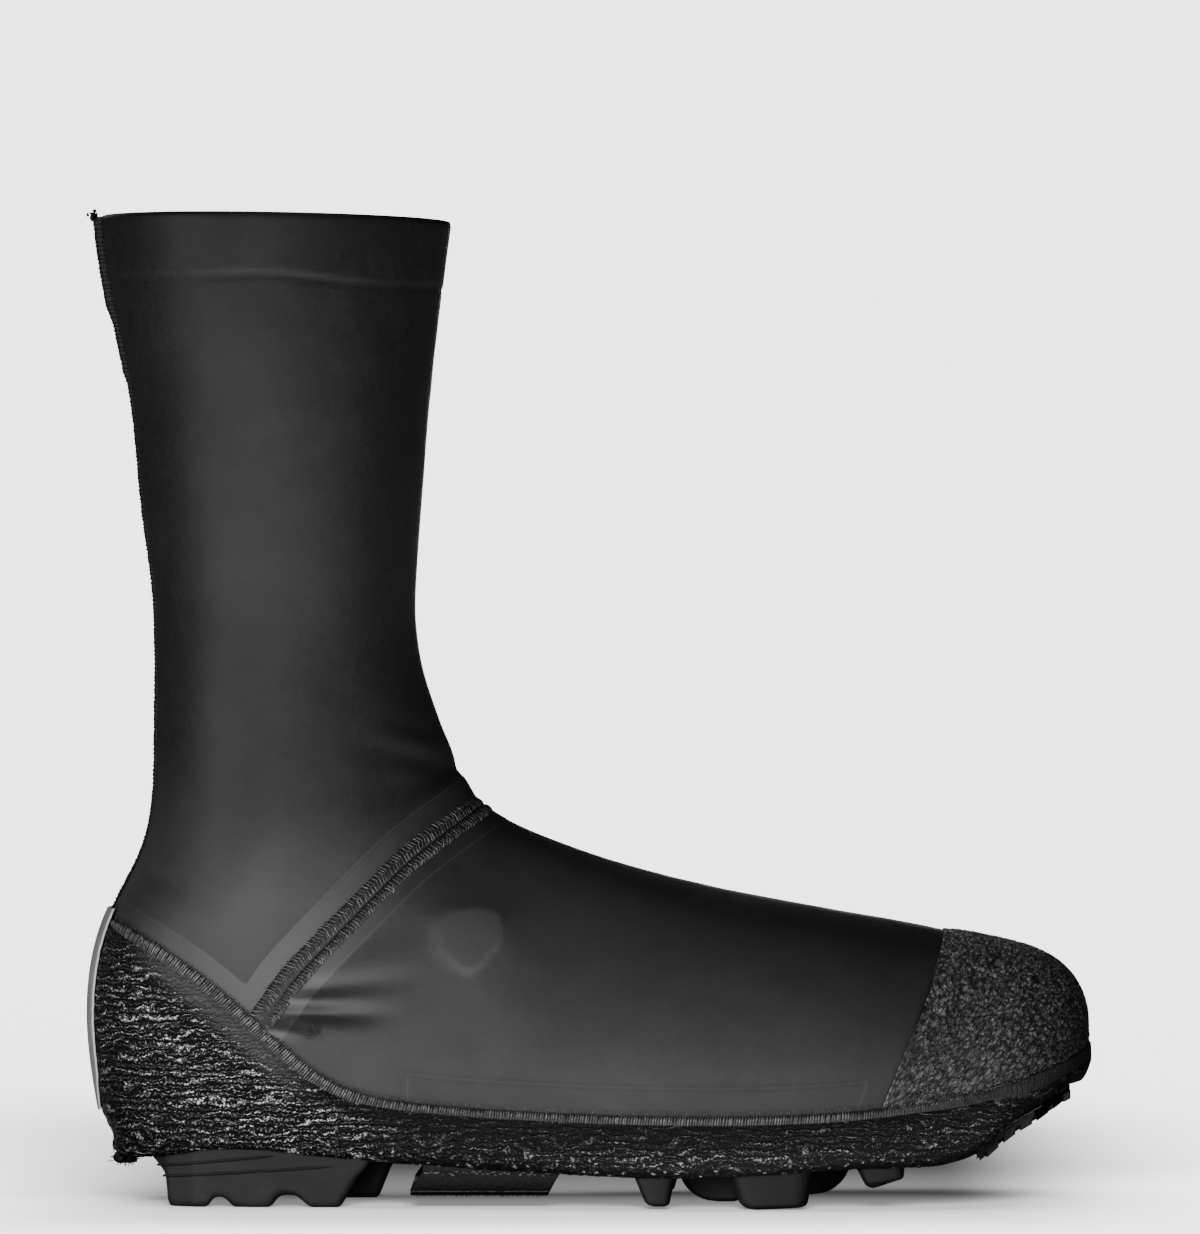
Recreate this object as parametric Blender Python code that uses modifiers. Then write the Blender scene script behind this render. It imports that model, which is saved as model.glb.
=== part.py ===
"""A tall right-foot cycling overshoe on the lugged sole that it is stretched over.

Everything soft comes from one sock-shaped form: a fan of sections that runs from the toe, round the
heel and up the shaft. The tables are in millimetres, with +X to the toe, -Y to the outer side of the
foot and +Z up from the floor.
"""

import math
from collections import namedtuple

import bmesh
import bpy
import numpy as np
from mathutils import Vector

MM = 0.001

# Limits of the meshes: edges sharper than an angle in degrees, and points closer than a distance
SHARP_ANGLE = 35.0
BEVEL_ANGLE = 40.0
WELD = 0.02
SLIVER = 0.002

# Wall thicknesses and the gaps between neighbouring pieces
UPPER_WALL = 1.5
GAP = 0.3
OVERLAY_OUT = 1.3
BEAD_OUT = 1.9
ANKLE_SEAM_OUT = 1.1
BACK_SEAM_OUT = 1.3
REFLECTOR_IN = 1.6
REFLECTOR_OUT = 2.1

# Each section is a loop from a low point (hem, then heel and back of the leg) to a ridge point (toe,
# instep, then front of the leg). wall_share is the share of the loop that stands straight before it
# rounds over, and fullness is how squarely it rounds.
Section = namedtuple("Section", "name low_x low_z ridge_x ridge_z wall_share fullness")
SECTIONS = (
    Section("toe_edge", 142.4, 37.3, 142.4, 37.3, 0.12, 2.0),
    Section("toe_bumper", 139.6, 36.2, 146.0, 40.4, 0.12, 2.0),
    Section("toe_tip", 135.2, 33.6, 146.0, 46.0, 0.14, 2.0),
    Section("toe_brow", 129.2, 29.9, 145.2, 56.6, 0.15, 2.1),
    Section("toe_crown", 121.5, 25.0, 140.4, 66.5, 0.16, 2.1),
    Section("toe_top", 113.2, 18.0, 130.3, 73.1, 0.17, 2.2),
    Section("toe_box", 104.0, 14.2, 117.0, 76.6, 0.18, 2.2),
    Section("toe_line", 84.0, 13.0, 95.0, 81.2, 0.18, 2.2),
    Section("ball", 55.0, 11.6, 62.0, 87.2, 0.18, 2.2),
    Section("ball_back", 24.0, 10.3, 32.0, 93.2, 0.18, 2.2),
    Section("waist", -8.0, 11.2, 5.0, 100.4, 0.18, 2.2),
    Section("instep", -45.0, 13.2, -13.0, 106.9, 0.20, 2.2),
    Section("heel_front", -85.0, 16.6, -25.0, 112.4, 0.30, 2.1),
    Section("heel_side", -116.0, 17.2, -31.5, 116.6, 0.38, 2.0),
    Section("heel_edge", -134.2, 14.9, -34.5, 120.5, 0.42, 2.0),
    Section("heel_turn", -138.0, 16.6, -35.8, 123.0, 0.43, 2.0),
    Section("heel_low", -142.3, 28.5, -37.5, 126.5, 0.45, 2.0),
    Section("heel_back", -145.3, 53.0, -40.2, 132.0, 0.47, 2.0),
    Section("heel_top", -140.8, 82.0, -44.2, 142.0, 0.49, 2.0),
    Section("tendon", -130.0, 105.0, -48.0, 153.0, 0.50, 2.0),
    Section("ankle", -126.8, 135.0, -50.3, 165.0, 0.50, 2.0),
    Section("shaft_low", -127.1, 176.0, -50.7, 180.0, 0.50, 2.0),
    Section("shaft_mid", -130.1, 200.0, -49.3, 201.0, 0.50, 2.0),
    Section("shaft_high", -133.2, 231.0, -46.9, 230.0, 0.50, 2.0),
    Section("shaft_top", -138.0, 257.0, -44.4, 256.5, 0.50, 2.0),
    Section("cuff_line", -140.4, 269.0, -43.0, 268.0, 0.50, 2.0),
    Section("collar", -143.0, 288.5, -40.6, 286.8, 0.50, 2.0),
)

# Half widths of the foot along its length, to each side of an axis that curves to the inner side
Plan = namedtuple("Plan", "x axis lateral medial")
PLAN = (
    Plan(-120.0, -1.8, 34.5, 34.5),
    Plan(-85.0, -1.8, 35.5, 35.0),
    Plan(-45.0, -1.8, 38.0, 33.5),
    Plan(-8.0, -1.8, 43.5, 37.5),
    Plan(28.0, -1.3, 49.0, 45.0),
    Plan(60.0, -0.3, 50.5, 50.0),
    Plan(90.0, 1.7, 48.0, 49.5),
    Plan(115.0, 3.2, 45.0, 47.5),
    Plan(141.0, 4.7, 43.0, 46.0),
)
TOE_ROUND = 36.0

# Half widths of heel and leg by height, and how far from the back they reach that width
Leg = namedtuple("Leg", "z half_width back_round")
LEG = (
    Leg(15.0, 34.5, 33.0),
    Leg(50.0, 35.5, 36.0),
    Leg(80.0, 36.0, 38.0),
    Leg(105.0, 36.5, 40.0),
    Leg(135.0, 35.5, 40.0),
    Leg(176.0, 37.0, 39.0),
    Leg(200.0, 40.0, 40.5),
    Leg(231.0, 44.0, 43.5),
    Leg(258.0, 47.0, 47.0),
    Leg(289.0, 49.5, 51.5),
)
LEG_BLEND_Z = (55.0, 115.0)
LEG_BLEND_X = (30.0, -45.0)
LEG_AXIS = -1.8

# The hem turns under by a share of the half width, over a short height
HEM_SHARE = 0.12
HEM_ROUND = 7.0

# The cuff is a step in the wall
CUFF_STEP = 0.45
CUFF_RUN = 0.6

# The lacing dial of the shoe inside lifts the shell on the outer side
DIAL_X = -34.3
DIAL_Z = 77.9
DIAL_RISE = 4.0
DIAL_FLAT = 7.5
DIAL_FOOT = 13.0

# Cutters run past the part by these heights, lengths and half widths
CUT_LOW = -20.0
CUT_HIGH = 60.0
CUT_BACK = -170.0
CUT_FRONT = 170.0
CUT_HALF = 90.0

# Spacing of the form's loops, and the number of steps from hem to ridge
LOOP_SPACING = 14.0
SIDE_STEPS = 10
DIAL_LINES = (-12.0, -7.5, 7.5, 12.0)
DIAL_LOOP = 170.0
KEEP_CLEAR = 0.35
TABLE_STEPS = 2000
HEEL_LINES = (2.0, 7.0)
EXACT_TOE = ("toe_edge", "toe_bumper", "toe_tip", "toe_brow", "toe_crown")
EXACT_SECTIONS = EXACT_TOE + ("heel_edge", "heel_turn", "collar")

# Side view of the seam between rand and shell, as rows of x and z
SeamRow = namedtuple("SeamRow", "x z")
RAND_LINE = (
    SeamRow(-160.0, 93.0),
    SeamRow(-140.0, 82.0),
    SeamRow(-112.0, 65.0),
    SeamRow(-92.0, 47.5),
    SeamRow(-76.0, 35.5),
    SeamRow(-54.0, 29.5),
    SeamRow(-20.0, 27.0),
    SeamRow(50.0, 26.0),
    SeamRow(84.0, 28.0),
    SeamRow(112.0, 33.0),
    SeamRow(134.0, 40.5),
    SeamRow(160.0, 51.0),
)
RAND_STEP = 13.0
BEAD_HALF = 1.9
BEAD_CLEAR = 2.2
TOE_CAP_LINE = (SeamRow(84.2, 29.0), SeamRow(96.5, 58.0), SeamRow(104.5, 80.0), SeamRow(106.5, 90.0))
TOE_CAP_AHEAD = (SeamRow(190.0, 110.0), SeamRow(190.0, 0.0), SeamRow(76.0, 10.0))
ANKLE_LINE = (
    SeamRow(-24.0, 119.0),
    SeamRow(-31.4, 115.6),
    SeamRow(-48.8, 103.0),
    SeamRow(-61.4, 91.3),
    SeamRow(-81.0, 71.2),
    SeamRow(-89.1, 59.7),
    SeamRow(-101.0, 40.0),
)
ANKLE_SEAM_HALF = 4.2
ANKLE_POINTS = 21
BACK_SEAM_HALF = 2.5
BACK_SEAM_Z = (60.0, 284.0)
BACK_STRIP_FRONT = -115.0
REFLECTOR_HALF = 12.0
REFLECTOR_Z = (26.0, 79.0)

# Flat layers inside the hem: how far they reach past its edge, and their heights above the hem line
Layer = namedtuple("Layer", "name finish grow low high")
SOLE_LAYERS = (
    Layer("sole_plate", "sole_plastic", 0.0, 2.6, 7.4),
    Layer("insole", "insole_foam", 1.6, 7.7, 10.7),
)
LAYER_TOE_INSET = 1.5
LAYER_POINTS = 40
TREAD_SEAT = SOLE_LAYERS[0].low - GAP
TREAD_CLEAR = 1.0
ROOT_POINTS = 5
OPENING_TRIM = 0.5

# A lug's side view: where its root and its foot begin and end along the shoe, its foot's heights at
# back and front, and the strip across the shoe that it fills
Lug = namedtuple("Lug", "name root_back root_front foot_back foot_front low_back low_front y_from y_to")
LUGS = (
    Lug("ball_lug_outer_back", 13.0, 25.0, 17.5, 22.8, 0.9, 0.9, -60.0, -26.0),
    Lug("ball_lug_outer", 42.0, 65.0, 45.0, 62.3, 0.0, 0.0, -60.0, -24.0),
    Lug("toe_lug_outer", 76.0, 91.5, 80.3, 91.0, 6.0, 8.6, -60.0, -22.0),
    Lug("ball_lug_middle", 26.0, 47.0, 29.0, 44.0, 0.0, 0.0, -8.0, 13.0),
    Lug("ball_lug_inner_back", 14.0, 28.0, 18.0, 25.0, 0.6, 0.6, 21.0, 60.0),
    Lug("ball_lug_inner", 44.0, 79.0, 48.0, 74.0, 0.0, 0.0, 22.0, 60.0),
    Lug("toe_lug_inner", 84.0, 98.0, 87.0, 97.0, 7.0, 9.6, 20.0, 60.0),
)
HEEL_LUGS = (
    Lug("heel_lug_outer", -129.7, -63.0, -122.2, -72.0, 0.0, 0.0, -60.0, -9.0),
    Lug("heel_lug_inner", -129.7, -55.0, -122.2, -62.0, 0.0, 0.0, 9.0, 60.0),
)
HEEL_RISER_LOW = 9.6
HEEL_RISER_STEP = 13.2
HEEL_RISER_RUN = 3.2
HEEL_RISER_DRAFT = 1.0
Notch = namedtuple("Notch", "wide_back wide_front deep_back deep_front depth")
HEEL_NOTCHES = (Notch(-110.5, -103.2, -108.8, -105.9, 3.0), Notch(-92.2, -80.9, -89.6, -85.0, 3.5))
LUG_BEVEL = 0.5

# The toe tread lies along the rising hem under the toe, by its drops below the hem line
TOE_TREAD_X = (112.5, 141.6)
TOE_TREAD_HALF = 27.0
TOE_TREAD_GROW = 1.0
TOE_TREAD_TOP = 2.2
TOE_TREAD_BASE = 3.8
TOE_TREAD_BLOCK = 1.9
TOE_TREAD_BLOCKS = 5
TOE_TREAD_PITCH = 4.9
TOE_TREAD_BLOCK_LENGTH = 3.4
TOE_TREAD_FIRST = 115.5
TOE_ROOT_X = (113.5, 131.0)
TOE_ROOT_HALF = 16.0
TOE_ROOT_DROP = 0.4

# The strap under the arch hangs in a shallow trough
STRAP_X = (-50.0, -8.0)
STRAP_SEAT_OUTER = -36.0
STRAP_SEAT_INNER = 31.0
STRAP_LOW = 3.6
STRAP_CORNER = 4.0
STRAP_ARC_POINTS = 4
STRAP_THICK = 1.6

# The rolled end of the hem under the heel
HEEL_TAB_X = (-138.6, -132.0)
HEEL_TAB_Z = (11.0, 13.2)
HEEL_TAB_HALF = 11.0
HEEL_TAB_ROUND = 1.0

Finish = namedtuple("Finish", "colour roughness metallic")
FINISHES = {
    "shell_fabric": Finish((0.018, 0.018, 0.019), 0.55, 0.0),
    "rand_rubber": Finish((0.013, 0.013, 0.014), 0.45, 0.0),
    "seam_thread": Finish((0.012, 0.012, 0.012), 0.7, 0.0),
    "reflective_film": Finish((0.45, 0.45, 0.46), 0.35, 0.3),
    "sole_rubber": Finish((0.02, 0.02, 0.021), 0.6, 0.0),
    "sole_plastic": Finish((0.015, 0.015, 0.016), 0.4, 0.0),
    "insole_foam": Finish((0.05, 0.05, 0.052), 0.9, 0.0),
    "strap_webbing": Finish((0.012, 0.012, 0.012), 0.9, 0.0),
}


class Spline:
    """A smooth curve of one value through the rows of a table."""

    def __init__(self, knots, values):
        self.knots = np.asarray(knots, float)
        self.values = np.asarray(values, float)
        count = len(self.knots)
        step = np.diff(self.knots)
        matrix = np.eye(count)
        right = np.zeros(count)
        for row in range(1, count - 1):
            matrix[row, row - 1] = step[row - 1]
            matrix[row, row] = 2.0 * (step[row - 1] + step[row])
            matrix[row, row + 1] = step[row]
            rise_after = (self.values[row + 1] - self.values[row]) / step[row]
            rise_before = (self.values[row] - self.values[row - 1]) / step[row - 1]
            right[row] = 6.0 * (rise_after - rise_before)
        self.bend = np.linalg.solve(matrix, right)

    def __call__(self, at):
        at = np.clip(np.asarray(at, float), self.knots[0], self.knots[-1])
        left = np.clip(np.searchsorted(self.knots, at) - 1, 0, len(self.knots) - 2)
        step = self.knots[left + 1] - self.knots[left]
        before = (self.knots[left + 1] - at) / step
        after = 1.0 - before
        straight = before * self.values[left] + after * self.values[left + 1]
        curve_before = (before**3 - before) * self.bend[left]
        curve_after = (after**3 - after) * self.bend[left + 1]
        return straight + (curve_before + curve_after) * step**2 / 6.0


def column(rows, name):
    """One named column of a table."""
    return [getattr(row, name) for row in rows]


def ease(start, end, at):
    """A smooth step from 0 at start to 1 at end."""
    share = np.clip((at - start) / (end - start), 0.0, 1.0)
    return share * share * (3.0 - 2.0 * share)


def quarter_round(share):
    """A quarter circle that leaves 0 upright and reaches 1 level."""
    return np.sqrt(1.0 - (1.0 - np.clip(share, 0.0, 1.0)) ** 2)


class SockForm:
    """The form of the shell: a fan of loops, each placed by its distance along the sock."""

    def __init__(self):
        low = np.array([column(SECTIONS, "low_x"), column(SECTIONS, "low_z")]).T
        ridge = np.array([column(SECTIONS, "ridge_x"), column(SECTIONS, "ridge_z")]).T
        low_steps = np.linalg.norm(np.diff(low, axis=0), axis=1)
        ridge_steps = np.linalg.norm(np.diff(ridge, axis=0), axis=1)
        self.stations = np.concatenate([[0.0], np.cumsum((low_steps + ridge_steps) / 2.0)])
        self.length = self.stations[-1]
        for name in ("low_x", "low_z", "ridge_x", "ridge_z", "wall_share", "fullness"):
            setattr(self, name, Spline(self.stations, column(SECTIONS, name)))
        for name in ("axis", "lateral", "medial"):
            setattr(self, name, Spline(column(PLAN, "x"), column(PLAN, name)))
        for name in ("half_width", "back_round"):
            setattr(self, name, Spline(column(LEG, "z"), column(LEG, name)))
        self.heel_edge = self.station("heel_edge")
        self.heel_turn = self.station("heel_turn")
        self.cuff_line = self.station("cuff_line")
        back = np.linspace(self.heel_edge, self.length, TABLE_STEPS)
        self.back_z = self.low_z(back)
        self.back_x = self.low_x(back)
        hem = np.linspace(self.heel_edge, 0.0, TABLE_STEPS)
        self.hem_line_x = self.low_x(hem)
        self.hem_line_z = self.low_z(hem)

    def station(self, name):
        """Distance along the sock of a named section."""
        return self.stations[column(SECTIONS, "name").index(name)]

    def hem_z(self, x):
        """Height of the hem line at a place along the shoe."""
        return np.interp(x, self.hem_line_x, self.hem_line_z)

    def skin(self, along, around):
        """Points of the bare form. around runs from -1 (outer hem) over 0 (ridge) to 1 (inner hem)."""
        low_x = self.low_x(along)
        low_z = self.low_z(along)
        run_x = self.ridge_x(along) - low_x
        run_z = self.ridge_z(along) - low_z
        climb = (1.0 - np.cos(math.pi * (1.0 - np.abs(around)))) / 2.0
        x = low_x + climb * run_x
        z = low_z + climb * run_z
        wall = self.wall_share(along)
        over = np.clip((climb - wall) / (1.0 - wall), 0.0, 1.0)
        crown = np.sqrt(1.0 - over ** self.fullness(along))
        behind = quarter_round((x - np.interp(z, self.back_z, self.back_x)) / self.back_round(z))
        behind = np.where((np.abs(around) >= 1.0) & (along >= self.heel_edge), 0.0, behind)
        toe = quarter_round((SECTIONS[0].low_x - low_x) / TOE_ROUND)
        foot = np.where(around < 0.0, self.lateral(low_x), self.medial(low_x)) * toe
        in_leg = ease(*LEG_BLEND_Z, z) * ease(*LEG_BLEND_X, x)
        width = foot + (self.half_width(z) - foot) * in_leg
        opened = np.clip((self.heel_turn - along) / (self.heel_turn - self.heel_edge), 0.0, 1.0)
        rise = climb * np.hypot(run_x, run_z)
        turned = 1.0 - HEM_SHARE * opened * (1.0 - quarter_round(rise / HEM_ROUND))
        axis = self.axis(x) + (LEG_AXIS - self.axis(x)) * in_leg
        side = np.sign(around)
        return np.stack([x, axis + side * width * crown * behind * turned, z], axis=-1)

    def outward(self, along, around):
        """Unit normals of the bare form."""
        small_along = 0.05
        small_around = 0.002
        along = np.maximum(along, 1.0)
        after = np.minimum(along + small_along, self.length)
        before = after - 2.0 * small_along
        right = np.minimum(around + small_around, 1.0)
        left = np.maximum(around - small_around, -1.0)
        across = self.skin(along, right) - self.skin(along, left)
        ahead = self.skin(after, around) - self.skin(before, around)
        normal = np.cross(across, ahead)
        at_back = (np.abs(around) > 0.999) & (along >= self.heel_edge)
        normal[..., 1] = np.where(at_back, 0.0, normal[..., 1])
        return normal / np.maximum(np.linalg.norm(normal, axis=-1, keepdims=True), 1e-12)

    def relief(self, points, along, around):
        """How far cuff and dial stand out of the bare form."""
        cuff = CUFF_STEP * ease(self.cuff_line - CUFF_RUN, self.cuff_line + CUFF_RUN, along)
        from_dial = np.hypot(points[..., 0] - DIAL_X, points[..., 2] - DIAL_Z)
        dial = DIAL_RISE * ease(DIAL_FOOT, DIAL_FLAT, from_dial) * (around < 0.0)
        return cuff + dial

    def surface(self, along, around, offset):
        """Points of the form, moved outward by an offset."""
        points = self.skin(along, around)
        stand_out = self.relief(points, along, around) + offset
        return points + self.outward(along, around) * stand_out[..., None]

    def find(self, x, z):
        """The loop and the place on it that lie at a point of the outer side's side view."""
        along = np.linspace(self.stations[1], self.length, TABLE_STEPS)
        run_x = self.ridge_x(along) - self.low_x(along)
        run_z = self.ridge_z(along) - self.low_z(along)
        off = run_x * (z - self.low_z(along)) - run_z * (x - self.low_x(along))
        best = np.argmin(np.abs(off / np.hypot(run_x, run_z)))
        reach_x = x - self.low_x(along[best])
        reach_z = z - self.low_z(along[best])
        climb = np.hypot(reach_x, reach_z) / np.hypot(run_x[best], run_z[best])
        return along[best], math.acos(1.0 - 2.0 * climb) / math.pi - 1.0


def loop_lines(form):
    """Distances along the sock of the form's loops: even, with more at toe, dial, heel and cuff."""
    even = np.linspace(0.0, form.length, round(form.length / LOOP_SPACING) + 1)
    dial_along = form.find(DIAL_X, DIAL_Z)[0]
    wanted = [dial_along + shift for shift in DIAL_LINES]
    wanted += [form.cuff_line - CUFF_RUN, form.cuff_line + CUFF_RUN]
    wanted += [form.station(name) for name in EXACT_SECTIONS]
    wanted += [form.heel_edge - shift for shift in HEEL_LINES]
    clear = [at for at in even if min(abs(at - other) for other in wanted) > LOOP_SPACING * KEEP_CLEAR]
    return np.array(sorted(clear + wanted))


def side_lines(form):
    """Places around a loop: even on both sides, with more at the dial on the outer side."""
    even = np.linspace(-1.0, 1.0, 2 * SIDE_STEPS + 1)
    dial_around = form.find(DIAL_X, DIAL_Z)[1]
    wanted = [dial_around + shift / DIAL_LOOP for shift in DIAL_LINES]
    clear = [at for at in even if min(abs(at - other) for other in wanted) > KEEP_CLEAR / SIDE_STEPS]
    return np.array(sorted(clear + wanted))


def grid_mesh(form, offset, along, around, closed):
    """The form as a mesh: an open shell, or a body that is closed at collar and underside.

    The two sides are split into triangles as mirror images, so that offset forms keep their gaps.
    """
    flat_along, flat_around = (part.ravel() for part in np.meshgrid(along, around, indexing="ij"))
    points = form.surface(flat_along, flat_around, offset).reshape(len(along), len(around), 3)
    points[0] = points[0].mean(axis=0)
    mesh = bmesh.new()
    rows = [[mesh.verts.new(Vector(point) * MM) for point in row] for row in points]
    for near, far in zip(rows, rows[1:]):
        for index, place in enumerate(around[:-1]):
            corners = (near[index], near[index + 1], far[index + 1], far[index])
            turn = 0 if place < 0.0 else 1
            for pick in ((0, 1, 2), (2, 3, 0)):
                mesh.faces.new([corners[(corner + turn) % 4] for corner in pick])
        if closed:
            mesh.faces.new((near[-1], near[0], far[0], far[-1]))
    if closed:
        mesh.faces.new(rows[-1])
    bmesh.ops.remove_doubles(mesh, verts=mesh.verts, dist=WELD * MM)
    bmesh.ops.dissolve_degenerate(mesh, edges=mesh.edges, dist=SLIVER * MM)
    bmesh.ops.recalc_face_normals(mesh, faces=mesh.faces)
    return mesh


def prism_mesh(outline, y_from, y_to):
    """A side-view outline of x and z, drawn out across the shoe."""
    mesh = bmesh.new()
    face = mesh.faces.new([mesh.verts.new(Vector((x, y_from, z)) * MM) for x, z in outline])
    grown = bmesh.ops.extrude_face_region(mesh, geom=[face])
    moved = [item for item in grown["geom"] if isinstance(item, bmesh.types.BMVert)]
    bmesh.ops.translate(mesh, verts=moved, vec=Vector((0.0, y_to - y_from, 0.0)) * MM)
    bmesh.ops.recalc_face_normals(mesh, faces=mesh.faces)
    return mesh


def column_mesh(outline, z_from, z_to):
    """A plan outline of x and y, drawn up."""
    mesh = bmesh.new()
    face = mesh.faces.new([mesh.verts.new(Vector((x, y, z_from)) * MM) for x, y in outline])
    grown = bmesh.ops.extrude_face_region(mesh, geom=[face])
    moved = [item for item in grown["geom"] if isinstance(item, bmesh.types.BMVert)]
    bmesh.ops.translate(mesh, verts=moved, vec=Vector((0.0, 0.0, z_to - z_from)) * MM)
    bmesh.ops.recalc_face_normals(mesh, faces=mesh.faces)
    return mesh


class Workshop:
    """Makes objects in the part's collections."""

    def __init__(self):
        self.parts = self.collection("overshoe")
        self.cutters = self.collection("overshoe_cutters")
        self.materials = {name: self.material(name, finish) for name, finish in FINISHES.items()}

    @staticmethod
    def collection(name):
        """A new collection of the scene."""
        made = bpy.data.collections.new(name)
        bpy.context.scene.collection.children.link(made)
        return made

    @staticmethod
    def material(name, finish):
        """A plain finish."""
        made = bpy.data.materials.new(name)
        made.use_nodes = True
        shader = made.node_tree.nodes["Principled BSDF"]
        shader.inputs["Base Color"].default_value = (*finish.colour, 1.0)
        shader.inputs["Roughness"].default_value = finish.roughness
        shader.inputs["Metallic"].default_value = finish.metallic
        return made

    def part(self, name, mesh, finish):
        """A piece of the overshoe."""
        data = bpy.data.meshes.new(name)
        mesh.to_mesh(data)
        mesh.free()
        data.shade_smooth()
        data.set_sharp_from_angle(angle=math.radians(SHARP_ANGLE))
        data.materials.append(self.materials[finish])
        made = bpy.data.objects.new(name, data)
        self.parts.objects.link(made)
        return made

    def cutter(self, name, mesh):
        """A helper that only cuts."""
        data = bpy.data.meshes.new(name)
        mesh.to_mesh(data)
        mesh.free()
        made = bpy.data.objects.new(name, data)
        made.hide_render = True
        made.display_type = "WIRE"
        self.cutters.objects.link(made)
        return made


def cut(piece, tool, operation):
    """Adds a Boolean with a cutter to a piece."""
    modifier = piece.modifiers.new(f"{operation.lower()}_{tool.name}", "BOOLEAN")
    modifier.operation = operation
    modifier.solver = "EXACT"
    modifier.object = tool


def bevel(piece, width):
    """Rounds a piece's edges a little."""
    modifier = piece.modifiers.new("soft_edges", "BEVEL")
    modifier.width = width * MM
    modifier.segments = 1
    modifier.limit_method = "ANGLE"
    modifier.angle_limit = math.radians(BEVEL_ANGLE)


def rand_line(lift):
    """Side view of the seam line, moved square to itself by a lift."""
    line = Spline(column(RAND_LINE, "x"), column(RAND_LINE, "z"))
    first = RAND_LINE[0].x
    last = RAND_LINE[-1].x
    x = np.linspace(first, last, round((last - first) / RAND_STEP) + 1)
    slope = np.gradient(line(x), x)
    size = np.sqrt(1.0 + slope**2)
    return list(zip(x - lift * slope / size, line(x) + lift / size))


def ankle_band():
    """Side view of the band that the ankle seam fills."""
    places = np.arange(len(ANKLE_LINE), dtype=float)
    across = Spline(places, column(ANKLE_LINE, "x"))
    up = Spline(places, column(ANKLE_LINE, "z"))
    at = np.linspace(0.0, places[-1], ANKLE_POINTS)
    points = np.stack([across(at), up(at)], axis=1)
    heading = np.gradient(points, axis=0)
    heading /= np.linalg.norm(heading, axis=1, keepdims=True)
    square = np.stack([-heading[:, 1], heading[:, 0]], axis=1) * ANKLE_SEAM_HALF
    return [tuple(point) for point in np.concatenate([points + square, (points - square)[::-1]])]


def back_box(low, high):
    """Side view of a strip down the back of heel and leg."""
    return [(CUT_BACK, low), (BACK_STRIP_FRONT, low), (BACK_STRIP_FRONT, high), (CUT_BACK, high)]


def opening_outline(form, along, grow):
    """Plan of the hole under the foot, along the hem's edge, grown outward."""
    along = along[(along > 0.0) & (along <= form.heel_edge)]
    outer = form.skin(along, np.full_like(along, -1.0))[:, :2]
    inner = form.skin(along, np.full_like(along, 1.0))[:, :2]
    outline = np.concatenate([outer, inner[::-1][1:]])
    heading = np.roll(outline, -1, axis=0) - np.roll(outline, 1, axis=0)
    square = np.stack([heading[:, 1], -heading[:, 0]], axis=1)
    square /= np.linalg.norm(square, axis=1, keepdims=True)
    middle = outline.mean(axis=0)
    away = np.sign(((outline - middle) * square).sum(axis=1, keepdims=True))
    return outline + square * away * grow


def hem_band(form, low, high):
    """Side view of a layer that follows the hem line between two heights above it."""
    x = np.linspace(SECTIONS[0].low_x - LAYER_TOE_INSET, CUT_BACK, LAYER_POINTS)
    z = form.hem_z(x)
    return list(zip(x, z + low)) + list(zip(x[::-1], z[::-1] + high))


def make_upper(shop, form, along, around):
    """The hollow shell: an open surface with a real wall."""
    upper = shop.part("upper", grid_mesh(form, 0.0, along, around, closed=False), "shell_fabric")
    wall = upper.modifiers.new("wall", "SOLIDIFY")
    wall.thickness = UPPER_WALL * MM
    wall.offset = -1.0
    wall.use_even_offset = True
    wall.use_quality_normals = True


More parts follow.
